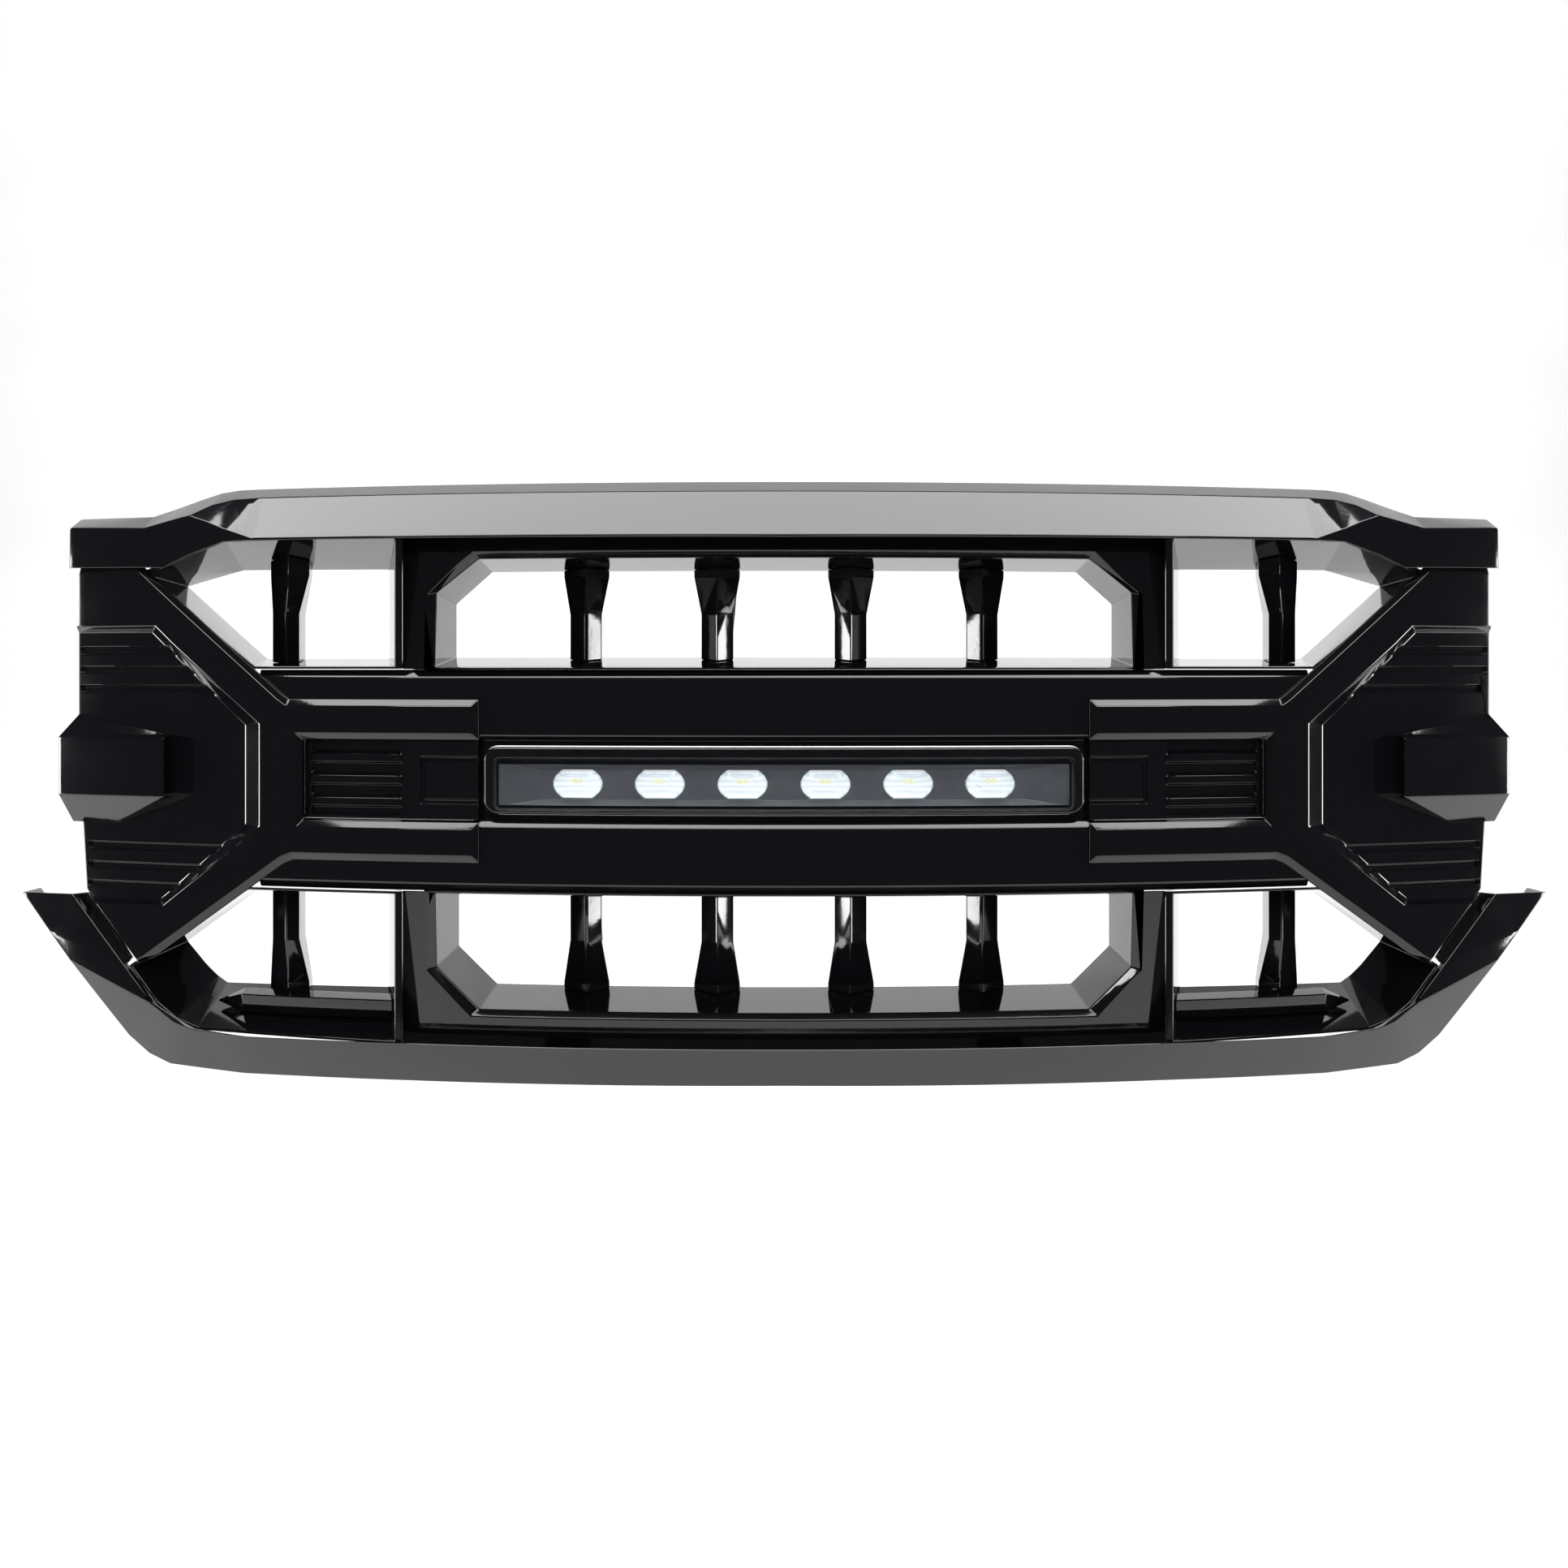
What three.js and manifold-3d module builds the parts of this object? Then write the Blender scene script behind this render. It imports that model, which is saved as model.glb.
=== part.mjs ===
// Front grille for a full-size pickup, with an LED light bar in its centre bar.
// Millimetres. The front faces -Y, +X is the viewer's right, +Z is up.
// The origin is the middle of the rear face of the centre mounting bracket.
// "left" and "right" are as seen by someone standing in front of the grille.
//
// Every moulding is first drawn flat: x across, d = depth behind the front face of the side wings,
// z = height above the top edge of the centre bar. It is then bent to the plan sweep of the grille.
import * as THREE from "three";
import { mergeVertices } from "three/addons/utils/BufferGeometryUtils.js";
import Module from "manifold-3d";

const wasm = await Module();
wasm.setup();

// ---- driving dimensions -------------------------------------------------------------------
const SWEEP_RADIUS = 1850; // plan radius of the whole front
const FACET = 100; // the sweep is made of flats this wide
const REAR_PLANE = 130; // flat depth of the rear face of the centre bracket
const BRACKET_HEIGHT = 170; // height of the centre bracket above the centre bar's top edge
const WALL = 3; // wall thickness of the mouldings
const GAP = 0.4; // clearance between neighbouring pieces
const DUCT_REAR = 118; // depth of the rear edges of the air ducts

const WING_OUTER = 797; // half width over the side wings
const WING_PLATE = 7.7; // thickness of the wings' front plate
const BEVEL = 8; // bevel along the wings' inner edges
const BEVEL_DEPTH = 6.2;
const BAR_FACE = 8; // depth of the centre bar's face
const BAR_TOP = 6; // height of the centre bar's upper shoulder
const BAR_BOTTOM = -231; // height of the centre bar's lower shoulder
const BAR_HALF = 574; // half length of the centre bar
const POCKET_HALF = 522; // half length of the pocket in the centre bar
const POCKET_TOP = -69;
const POCKET_BOTTOM = -155;

const POST_FRONT = 12; // depth of the window frames beside the centre bar
const POST_OUTER = 409.5; // half width over the frames' posts at that depth
const POST_OUTER_REAR = 441.3; // and at the rear
const BLADE_CENTRES = [-216, -72, 72, 216]; // the four blades in each window
const SIDE_BLADE = 552; // the blade in each side duct

const LIGHT_HALF = 320; // half length of the light bar
const LIGHT_TOP = -76;
const LIGHT_BOTTOM = -148;
const LIGHT_MIDDLE = (LIGHT_TOP + LIGHT_BOTTOM) / 2 - 3.5;
const OPTIC_COUNT = 6;
const OPTIC_PITCH = 87.8;
const OPTIC_HALF_WIDTH = 27;
const OPTIC_HALF_HEIGHT = 15;

const SCREW_RADIUS = 3; // shank of the M6 screws
const HEAD_RADIUS = 6;

// ---- colours ------------------------------------------------------------------------------
const paint = (color, roughness, metalness) =>
  new THREE.MeshStandardMaterial({ color, roughness, metalness });
const GLOSS_BLACK = paint(0x101014, 0.12, 0);
const SATIN_BLACK = paint(0x1c1c1f, 0.5, 0);
const STEEL = paint(0x8d9094, 0.35, 1);
const CAST_ALUMINIUM = paint(0x6d7074, 0.45, 1);
const REFLECTOR = paint(0x3a3a3f, 0.4, 0.3);
const CLEAR_PLASTIC = paint(0xe8edf0, 0.06, 0);
const OPTIC_PLASTIC = paint(0xf2f6f8, 0.08, 0);
const BOARD_GREEN = paint(0x1f5a3c, 0.5, 0);
const RUBBER = paint(0x161616, 0.85, 0);

// ---- solids -------------------------------------------------------------------------------
const signedVolume = (corners) => {
  let sum = 0;
  for (let i = 0; i < corners.length; i += 3) {
    const [a, b, c] = [corners[i], corners[i + 1], corners[i + 2]];
    sum += a.dot(b.clone().cross(c));
  }
  return sum;
};

// A geometry from a flat list of triangle corners, turned so that its faces look outwards.
function fromCorners(corners) {
  if (signedVolume(corners) < 0) corners = corners.toReversed();
  const geometry = new THREE.BufferGeometry().setFromPoints(corners);
  return geometry;
}

// The triangles that close a ring, in the ring's own direction round.
function capOf(ring) {
  const normal = new THREE.Vector3();
  ring.forEach((p, i) => normal.add(p.clone().cross(ring[(i + 1) % ring.length])));
  const size = [Math.abs(normal.x), Math.abs(normal.y), Math.abs(normal.z)];
  const drop = size.indexOf(Math.max(...size));
  const flat = ring.map((p) => {
    const kept = p.toArray().filter((_, axis) => axis !== drop);
    return new THREE.Vector2(kept[0], kept[1]);
  });
  const way = Math.sign(THREE.ShapeUtils.area(flat));
  return THREE.ShapeUtils.triangulateShape(flat, []).flatMap((face) => {
    const turn = Math.sign(THREE.ShapeUtils.area(face.map((i) => flat[i])));
    const ordered = turn === way ? face : face.toReversed();
    return ordered.map((i) => ring[i]);
  });
}

// A closed body through rings of equally many points, each point [x, depth, z].
function loft(rings) {
  const hoops = rings.map((ring) => ring.map((p) => new THREE.Vector3(...p)));
  const corners = capOf(hoops[0]).toReversed();
  corners.push(...capOf(hoops.at(-1)));
  for (let k = 0; k + 1 < hoops.length; k++) {
    hoops[k].forEach((a, i) => {
      const next = (i + 1) % hoops[k].length;
      const [b, c, d] = [hoops[k][next], hoops[k + 1][next], hoops[k + 1][i]];
      corners.push(a, b, c, a, c, d);
    });
  }
  return fromCorners(corners.map((p) => p.clone()));
}

// A ring at a depth, which may be a number or a function of x and z, from [x, z] points.
const at = (depth, points) =>
  points.map(([x, z]) => [x, typeof depth === "function" ? depth(x, z) : depth, z]);

// A section at x from [depth, z] points.
const across = (x, points) => points.map(([d, z]) => [x, d, z]);

// A straight box between two corners.
const block = (x0, x1, d0, d1, z0, z1) => {
  const outline = rectangle(x0, x1, z0, z1);
  return loft([at(d0, outline), at(d1, outline)]);
};

const rectangle = (x0, x1, z0, z1) => [
  [x0, z0],
  [x1, z0],
  [x1, z1],
  [x0, z1],
];

// Where two lines meet, each given by a point and a direction; the first point if they never do.
function meet(p, u, q, v) {
  const cross = u[0] * v[1] - u[1] * v[0];
  if (Math.abs(cross) < 1e-6) return p;
  const along = ((q[0] - p[0]) * v[1] - (q[1] - p[1]) * v[0]) / cross;
  return [p[0] + along * u[0], p[1] + along * u[1]];
}

// A closed outline grown by a distance, or by one distance per side; sharp corners stay sharp.
function grow(points, distance) {
  const way = Math.sign(THREE.ShapeUtils.area(points.map((p) => new THREE.Vector2(...p))));
  const sides = points.map((p, i) => {
    const q = points[(i + 1) % points.length];
    const length = Math.hypot(q[0] - p[0], q[1] - p[1]);
    const u = [(q[0] - p[0]) / length, (q[1] - p[1]) / length];
    const reach = way * (Array.isArray(distance) ? distance[i] : distance);
    return { u, p: [p[0] + u[1] * reach, p[1] - u[0] * reach] };
  });
  return sides.map((side, i) => {
    const before = sides.at(i - 1);
    return meet(side.p, side.u, before.p, before.u);
  });
}

// An open line made into a closed strip, with the wall on its right-hand side.
function thicken(line, wall) {
  const sides = line.slice(1).map((q, i) => {
    const p = line[i];
    const length = Math.hypot(q[0] - p[0], q[1] - p[1]);
    const u = [(q[0] - p[0]) / length, (q[1] - p[1]) / length];
    const right = [u[1] * wall, -u[0] * wall];
    return { u, p: [p[0] + right[0], p[1] + right[1]], q: [q[0] + right[0], q[1] + right[1]] };
  });
  const inner = line.map((_, i) => {
    if (i === 0) return sides[0].p;
    if (i === sides.length) return sides.at(-1).q;
    return meet(sides[i].p, sides[i].u, sides[i - 1].p, sides[i - 1].u);
  });
  return [...line, ...inner.toReversed()];
}

const solidOf = (geometry) => {
  const plain = new THREE.BufferGeometry();
  plain.setAttribute("position", geometry.getAttribute("position"));
  plain.setIndex(geometry.index);
  const merged = mergeVertices(plain, 1e-4);
  const vertProperties = merged.attributes.position.array;
  const triVerts = new Uint32Array(merged.index.array);
  return new wasm.Manifold(new wasm.Mesh({ numProp: 3, vertProperties, triVerts }));
};

const geometryOf = (solid) => {
  const { vertProperties, triVerts } = solid.getMesh();
  const geometry = new THREE.BufferGeometry();
  geometry.setAttribute("position", new THREE.BufferAttribute(vertProperties, 3));
  geometry.setIndex(new THREE.BufferAttribute(triVerts, 1));
  return geometry;
};

const join = (...parts) => geometryOf(parts.map(solidOf).reduce((a, b) => a.add(b)));
const cut = (body, ...tools) =>
  geometryOf(tools.map(solidOf).reduce((a, b) => a.subtract(b), solidOf(body)));

const shared = (a, b) => geometryOf(solidOf(a).intersect(solidOf(b)));

// The triangle corners of a geometry as vectors.
function cornersOf(geometry) {
  const plain = geometry.index ? geometry.toNonIndexed() : geometry;
  const position = plain.getAttribute("position");
  return Array.from({ length: position.count }, (_, i) =>
    new THREE.Vector3().fromBufferAttribute(position, i),
  );
}

// The same body on the other side of the centreline.
const mirrored = (geometry) =>
  fromCorners(cornersOf(geometry).map((p) => new THREE.Vector3(-p.x, p.y, p.z)));

// A body that ends on the centreline, and its mirror image.
const bothHalves = (half) => join(half, mirrored(half));

// ---- bending to the sweep -----------------------------------------------------------------
const arcDepth = (x) => SWEEP_RADIUS - Math.sqrt(SWEEP_RADIUS ** 2 - x ** 2);

// How far the sweep sets a point back; straight between neighbouring stations.
function setBack(x) {
  const station = Math.floor(Math.abs(x) / FACET) * FACET;
  const part = (Math.abs(x) - station) / FACET;
  return arcDepth(station) * (1 - part) + arcDepth(station + FACET) * part;
}

// A flat body sheared slab by slab, so each slab between two stations stays made of flats.
// All pieces are cut at the same stations, so what clears flat still clears when bent.
function bend(geometry) {
  const whole = solidOf(geometry);
  const { min, max } = whole.boundingBox();
  const slabs = [];
  for (let x = Math.floor(min[0] / FACET) * FACET; x < max[0]; x += FACET) {
    const slab = whole.intersect(solidOf(block(x, x + FACET, -200, 400, -800, 800)));
    if (slab.volume() < 1e-3) continue;
    const corners = cornersOf(geometryOf(slab)).map((p) => placed(onStation(p.x), p.y, p.z));
    slabs.push(solidOf(fromCorners(corners)));
  }
  return geometryOf(slabs.reduce((a, b) => a.add(b)));
}

// Takes off the rounding of a point that lies on a station.
const onStation = (x) => {
  const station = Math.round(x / FACET) * FACET;
  return Math.abs(x - station) < 1e-3 ? station : x;
};

const placed = (x, depth, z) =>
  new THREE.Vector3(x, depth + setBack(x) - REAR_PLANE, z - BRACKET_HEIGHT);

// ---- assembly -----------------------------------------------------------------------------
const grille = new THREE.Group();
grille.name = "front_grille";

function add(name, geometry, material) {
  const mesh = new THREE.Mesh(geometry, material);
  mesh.name = name;
  grille.add(mesh);
}

const addBent = (name, flat, material) => add(name, bend(flat), material);

function addPair(name, flatLeft, material) {
  addBent(name + "_left", flatLeft, material);
  addBent(name + "_right", mirrored(flatLeft), material);
}

// ---- hood trim ----------------------------------------------------------------------------
// Per station: x, then [depth, z] of the lower lip, face top, crease and rear shoulder.
const HOOD_LEFT = [
  [-808, [-6, 121.0], [-3, 165.0], [-1, 166.5], [36, 179.0]],
  [-712, [-6, 119.5], [-3, 162.0], [-1, 163.5], [36, 178.7]],
  [-687, [-6, 118.5], [-1, 168.0], [1, 169.5], [46, 187.0]],
  [-656, [-6, 132.0], [1, 175.5], [4, 177.0], [56, 198.0]],
  [-634, [-6, 139.0], [-1, 168.5], [24, 189.0], [66, 205.5]],
  [-613, [-6, 146.0], [-3, 160.0], [38, 195.0], [72, 208.7]],
  [-579, [-6, 146.0], [-7, 148.5], [40, 196.5], [72, 209.0]],
];
const HOOD_MIDDLE = [[-6, 144.0], [-7, 147.0], [40, 196.3], [72, 209.1]];
const HOOD_FLANGE_REAR = 108;

function hoodTrim() {
  const section = (x, line) => {
    const shoulder = line.at(-1);
    const flange = [HOOD_FLANGE_REAR, shoulder[1] - 0.6];
    return across(x, thicken([...line, flange], WALL));
  };
  const stations = HOOD_LEFT.map(([x, ...line]) => section(x, line));
  return bothHalves(loft([...stations, section(0, HOOD_MIDDLE)]));
}

// ---- upper support rail -------------------------------------------------------------------
const RAIL_HALF = 560;
const RAIL_REAR = 115;
const RAIL_TOP = 204.5;
const RAIL_BOTTOM = 127;

function supportRail() {
  const line = [[80, RAIL_TOP], [RAIL_REAR, RAIL_TOP], [RAIL_REAR, RAIL_BOTTOM], [105, RAIL_BOTTOM]];
  const strip = thicken(line, WALL);
  const rail = loft([across(-RAIL_HALF, strip), across(RAIL_HALF, strip)]);
  const windows = [-450, -270, -100, 100, 270, 450].map((x) =>
    block(x - 40, x + 40, RAIL_REAR - 6, RAIL_REAR + 3, 146, 184),
  );
  return cut(rail, ...windows);
}

// ---- centre bar ---------------------------------------------------------------------------
function centreBar() {
  const line = [
    [36, BAR_BOTTOM],
    [16, BAR_BOTTOM],
    [BAR_FACE, BAR_BOTTOM + 8.5],
    [BAR_FACE, BAR_TOP - 8.6],
    [15.5, BAR_TOP],
    [36, BAR_TOP],
  ];
  const strip = thicken(line, WALL);
  const shell = loft([across(-BAR_HALF, strip), across(BAR_HALF, strip)]);
  const mouth = rectangle(-POCKET_HALF, POCKET_HALF, POCKET_BOTTOM, POCKET_TOP);
  const collar = grow(mouth, 2 * WALL);
  const sleeve = loft([at(BAR_FACE + 1, collar), at(26, collar)]);
  const around = rounded(LIGHT_HALF + 0.8, LIGHT_BOTTOM - 0.8, LIGHT_TOP + 0.8, 16);
  const floor = cut(
    block(-332, 332, 22, 25, POCKET_BOTTOM - WALL, POCKET_TOP + WALL),
    loft([at(20, around), at(30, around)]),
  );
  const flare = [8, 7, 5.5, 7];
  const opening = loft([
    at(BAR_FACE - 1, grow(mouth, flare)),
    at(14, mouth),
    at(30, mouth),
  ]);
  return join(cut(join(shell, sleeve), opening), floor);
}

// ---- side wings ---------------------------------------------------------------------------
// Face outline of the left wing: outer edge, upper diagonal, the arms round the pocket, lower diagonal.
const WING_FACE = [
  [-WING_OUTER, 114.5],
  [-722, 117],
  [-551.7, -26.4],
  [-541, -33.5],
  [-332.4, -33.5],
  [-332.4, -62.5],
  [-530, -62.5],
  [-530, -164.5],
  [-332.4, -164.5],
  [-332.4, -192.5],
  [-534, -192.5],
  [-547, -197.3],
  [-716, -315],
  [-722, -317.5],
  [-787.4, -242.6],
  [-791.7, -165.9],
  [-WING_OUTER, -45],
];
const WING_BEVELS = [8, 8, 8, 8, 8, 7, 8, 8, 8, 8, 8, 8, 4, 0, 0, 0, 0];

// The six-sided recess that holds the end block and the ribs, at the face and at its floor.
const RECESS_FACE = [
  [-830, 52],
  [-699, 52],
  [-571, -54],
  [-571, -163.5],
  [-689, -252],
  [-830, -256],
];
const RECESS_FLOOR = [
  [-830, 48.2],
  [-704.6, 48],
  [-590.8, -54.3],
  [-590.8, -163],
  [-694, -249.5],
  [-830, -252.5],
];
// The tray behind the recess, at its front and at its rear.
const TRAY_FRONT = [
  [-801, 56],
  [-697.5, 56],
  [-567, -52.2],
  [-567, -165.4],
  [-687.6, -256.2],
  [-777, -257.5],
  [-790.3, -242],
  [-795.4, -168],
  [-801, -45],
];
const TRAY_BACK = [
  [-801, 52],
  [-703.2, 51.6],
  [-587.2, -52.7],
  [-587.2, -164.7],
  [-692.7, -253],
  [-779, -256.5],
  [-790.3, -242],
  [-795.4, -168],
  [-801, -45],
];
const FLOOR_DEPTH = 10;
const TRAY_REAR = 17;
const GROOVE_DEPTH = 4;

// Per groove: upper edge, lower edge, and where each ends towards the middle.
const GROOVES = [
  [32.2, 23.0, -678, -671],
  [10.0, 2.3, -655, -645],
  [-11.0, -20.0, -631, -622],
  [-187.5, -196.8, -614, -624],
  [-210.0, -218.0, -639, -650],
  [-231.4, -239.3, -665, -676],
];

function groove([top, bottom, endTop, endBottom]) {
  const start = top > 0 || bottom > -100 ? -798 : -788;
  const mouth = [[start, bottom], [endBottom, bottom], [endTop, top], [start, top]];
  const root = [[start, bottom + 4], [endBottom - 5, bottom + 4], [endTop - 3, top], [start, top]];
  const floor = FLOOR_DEPTH + GROOVE_DEPTH;
  return loft([at(FLOOR_DEPTH - 1, grow(mouth, [1, 0, 0, 0])), at(floor, root)]);
}

// Hollow behind the wing's front skin, a rim's width inside its outline.
const WING_HOLLOW = [
  [-788, 110],
  [-724, 110],
  [-548, -39.5],
  [-339, -39.5],
  [-339, -56.5],
  [-536, -56.5],
  [-536, -170.5],
  [-339, -170.5],
  [-339, -186.5],
  [-535, -186.5],
  [-549, -190.5],
  [-717, -307],
  [-781, -240],
  [-786, -165],
  [-790, -45],
];

function sideWing() {
  const spread = grow(WING_FACE, WING_BEVELS);
  const front = loft([at(0, WING_FACE), at(BEVEL_DEPTH, spread), at(WING_PLATE, spread)]);
  const hollow = loft([at(WALL, WING_HOLLOW), at(WING_PLATE + 1, WING_HOLLOW)]);
  const plate = cut(front, hollow);
  const pan = loft([at(WALL - 1, TRAY_FRONT), at(TRAY_REAR, TRAY_BACK)]);
  const recess = loft([at(-2, grow(RECESS_FACE, 4)), at(FLOOR_DEPTH, RECESS_FLOOR)]);
  return cut(join(plate, pan), recess, ...GROOVES.map(groove));
}

// ---- end blocks ---------------------------------------------------------------------------
function endBlock() {
  const front = [
    [-817, -69],
    [-681, -69],
    [-681, -134],
    [-688, -134],
    [-817, -134],
  ];
  const rear = [
    [-800, -43],
    [-683, -66],
    [-683, -131],
    [-751, -166.5],
    [-808.5, -166.5],
  ];
  const body = loft([at(-20, front), at(FLOOR_DEPTH - GAP, rear)]);
  const hollow = loft([
    at(-16.5, rectangle(-811, -688, -129, -74)),
    at(FLOOR_DEPTH + 2, rectangle(-795, -690, -140, -68)),
  ]);
  return cut(body, hollow);
}

// ---- vent inserts -------------------------------------------------------------------------
// Lower and upper edge of the front of each of the three slats.
const SLATS = [
  [-93.5, -85],
  [-117, -108.5],
  [-141, -132.5],
];

function ventInsert() {
  const [left, step, right] = [-POCKET_HALF + 0.5, -412, -325.5];
  const [bottom, top] = [POCKET_BOTTOM + GAP, POCKET_TOP - GAP];
  const base = block(left, right, 18, 21, bottom, top);
  const pad = block(step, right, 11, 19, bottom, top);
  const slats = SLATS.map(([low, high]) =>
    loft([
      across(left + 8, [[10.5, low], [10.5, high], [19, high + 5], [19, low - 1]]),
      across(step + 1, [[10.5, low], [10.5, high], [19, high + 5], [19, low - 1]]),
    ]),
  );
  const shelf = block(left, step + 1, 12, 19, bottom, bottom + 4);
  const cheek = block(left, left + 8.5, 14, 19, bottom, top);
  const channel = [
    block(-389, right + 1, 9, 13.5, -91.5, -87),
    block(-389, -384.5, 9, 13.5, -137.5, -87),
    block(-389, right + 1, 9, 13.5, -137.5, -133),
  ];
  return cut(join(base, pad, ...slats, shelf, cheek), ...channel);
}

// ---- window frames ------------------------------------------------------------------------
// Both frames lean back away from the centre bar.
const leanUp = (z) => POST_FRONT + ((z - BAR_TOP) * 22) / 136;
const leanDown = (z) => POST_FRONT + ((BAR_BOTTOM - z) * 22) / 155;

const house = (half, base, shoulder, cornerHalf, crown) => [
  [-half, base],
  [half, base],
  [half, shoulder],
  [cornerHalf, crown],
  [-cornerHalf, crown],
  [-half, shoulder],
];

// Half width over the posts at a depth.
const postSide = (depth) =>
  POST_OUTER + ((POST_OUTER_REAR - POST_OUTER) * (depth - POST_FRONT)) / (DUCT_REAR - POST_FRONT);

// The outline of a leaning front whose sides follow the posts.
const postOutline = (lean, bottom, top) => {
  const [low, high] = [postSide(lean(bottom)), postSide(lean(top))];
  return [[-low, bottom], [low, bottom], [high, top], [-high, top]];
};

// A thin face, a thin tube round the opening, and thin outer sides held to it by ribs.
function windowFrame({ lean, outline, rearOutline, face, bevelled, rear, ribs }) {
  const behind = (extra) => (x, z) => lean(z) + extra;
  const body = loft([at(behind(0), outline), at(DUCT_REAR, rearOutline)]);
  const inside = (z) => postSide(lean(z) + WALL) - WALL;
  const [low, high] = [outline[0][1] - 5, outline[2][1] + 5];
  const back = postSide(DUCT_REAR) - WALL;
  const coreFront = [[-inside(low), low], [inside(low), low], [inside(high), high], [-inside(high), high]];
  const core = loft([
    at(behind(WALL), coreFront),
    at(DUCT_REAR + 1, rectangle(-back, back, low, high)),
  ]);
  const tube = loft([
    at(behind(1), grow(face, WALL)),
    at(behind(BEVEL), grow(bevelled, WALL)),
    at(DUCT_REAR, grow(rear, WALL)),
  ]);
  const opening = loft([
    at(behind(-2.5), grow(face, 2.5)),
    at(behind(BEVEL), bevelled),
    at(DUCT_REAR, rear),
    at(DUCT_REAR + 2, rear),
  ]);
  const braces = ribs.map((z) => shared(body, block(-450, 450, 20, 104, z - 1.2, z + 1.2)));
  return cut(join(cut(body, core), tube, ...braces), opening);
}

const UPPER_FLOOR_FRONT = 9.5;
const UPPER_FLOOR_REAR = 19.7;
const UPPER_CEILING_FRONT = 125.3;
const UPPER_CEILING_REAR = 114.5;
const LOWER_CEILING_FRONT = -234.8;
const LOWER_CEILING_REAR = -243;
const LOWER_FLOOR_FRONT = -360;
const LOWER_FLOOR_REAR = -343.2;

function upperFrame() {
  return windowFrame({
    lean: leanUp,
    outline: postOutline(leanUp, BAR_TOP + GAP, 150),
    rearOutline: rectangle(-POST_OUTER_REAR, POST_OUTER_REAR, 16.5, 122),
    face: house(385.5, UPPER_FLOOR_FRONT, 84.8, 337, 132.7),
    bevelled: house(375, UPPER_FLOOR_FRONT, 89.2, 329.3, UPPER_CEILING_FRONT),
    rear: house(365.8, UPPER_FLOOR_REAR, 79, 324.8, UPPER_CEILING_REAR),
    ribs: [42, 86],
  });
}

// The lower frame's face ends in a chin that turns down behind the valance.
const CHIN_TOP = -387;
const CHIN_BOTTOM = -402;

function lowerFrame() {
  const root = leanDown(CHIN_TOP);
  const side = postSide(root);
  const section = [
    [root, CHIN_TOP],
    [root + 9, CHIN_BOTTOM],
    [root + 12, CHIN_BOTTOM],
    [root + 4, CHIN_TOP + 3],
  ];
  const chin = loft([across(-side, section), across(side, section)]);
  const frame = windowFrame({
    lean: leanDown,
    outline: postOutline(leanDown, CHIN_TOP, BAR_BOTTOM - GAP),
    rearOutline: rectangle(-POST_OUTER_REAR, POST_OUTER_REAR, -372, -239.5),
    face: house(385, LOWER_CEILING_FRONT, -316.7, 338.4, -366.3),
    bevelled: house(374.6, LOWER_CEILING_FRONT, -315, 328.8, LOWER_FLOOR_FRONT),
    rear: house(362.9, LOWER_CEILING_REAR, -302.2, 319.2, LOWER_FLOOR_REAR),
    ribs: [-268, -308],
  });
  return join(frame, chin);
}

// ---- side ducts ---------------------------------------------------------------------------
// Clear openings of the left ducts, [x, depth, z], front then rear.
const UPPER_DUCT_FRONT = [
  [-711, 8, 111.8],
  [-614, 8, 147.5],
  [-418, 8, 147.5],
  [-418, 8, 9.6],
  [-578.5, 8, 9.6],
];
const UPPER_DUCT_REAR = [
  [-693, DUCT_REAR, 103],
  [-622, DUCT_REAR, 120.3],
  [-445, DUCT_REAR, 118.5],
  [-445, DUCT_REAR, 18.6],
  [-591.8, DUCT_REAR, 18.6],
];
const LOWER_DUCT_FRONT = [
  [-586.5, 8, -234.8],
  [-418, 8, -234.8],
  [-418, 8, -393],
  [-646, 8, -389],
  [-673, 8, -380.5],
  [-697, 8, -364],
  [-730, 8, -326],
];
const LOWER_DUCT_REAR = [
  [-600, DUCT_REAR, -243.5],
  [-445, DUCT_REAR, -243.5],
  [-445, DUCT_REAR, -350.5],
  [-642, DUCT_REAR, -354],
  [-655, DUCT_REAR, -346],
  [-668, DUCT_REAR, -335],
  [-693, DUCT_REAR, -309],
];

// Marks the wall that is as thick as it takes to reach the window frame's post.
const TO_POST = 0;

// A duct between two rings that bound its clear opening, with a wall thickness per side.
function duct(front, rear, thicknesses) {
  const widened = (ring, distance, push) => {
    const flat = grow(ring.map(([x, , z]) => [x, z]), distance);
    return flat.map(([x, z], i) => [x, ring[i][1] + push, z]);
  };
  const reachPost = ([x, depth]) => -x - postSide(depth) - GAP;
  const walls = (ring) =>
    ring.map((point, i) => (thicknesses[i] === TO_POST ? reachPost(point) : thicknesses[i]));
  const outer = loft([widened(front, walls(front), 0), widened(rear, walls(rear), 0)]);
  const bore = loft([
    widened(front, 0, -6),
    widened(front, 0, 0),
    widened(rear, 0, 0),
    widened(rear, 0, 3),
  ]);
  return cut(outer, bore);
}

// ---- blades -------------------------------------------------------------------------------
// Depth-to-height lines of the surfaces a blade stands between.
const slope = (front, frontDepth, rear) => (depth) =>
  front + ((rear - front) * (depth - frontDepth)) / (DUCT_REAR - frontDepth);
const upperFloor = slope(UPPER_FLOOR_FRONT, 22, UPPER_FLOOR_REAR);
const upperCeiling = slope(UPPER_CEILING_FRONT, 39, UPPER_CEILING_REAR);
const lowerCeiling = slope(LOWER_CEILING_FRONT, 20, LOWER_CEILING_REAR);
const lowerFloor = slope(LOWER_FLOOR_FRONT, 38, LOWER_FLOOR_REAR);
const sideUpperFloor = slope(9.6, 8, 18.6);
const sideUpperCeiling = slope(147, 8, 119);
const sideLowerCeiling = slope(-234.8, 8, -243.5);
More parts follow.
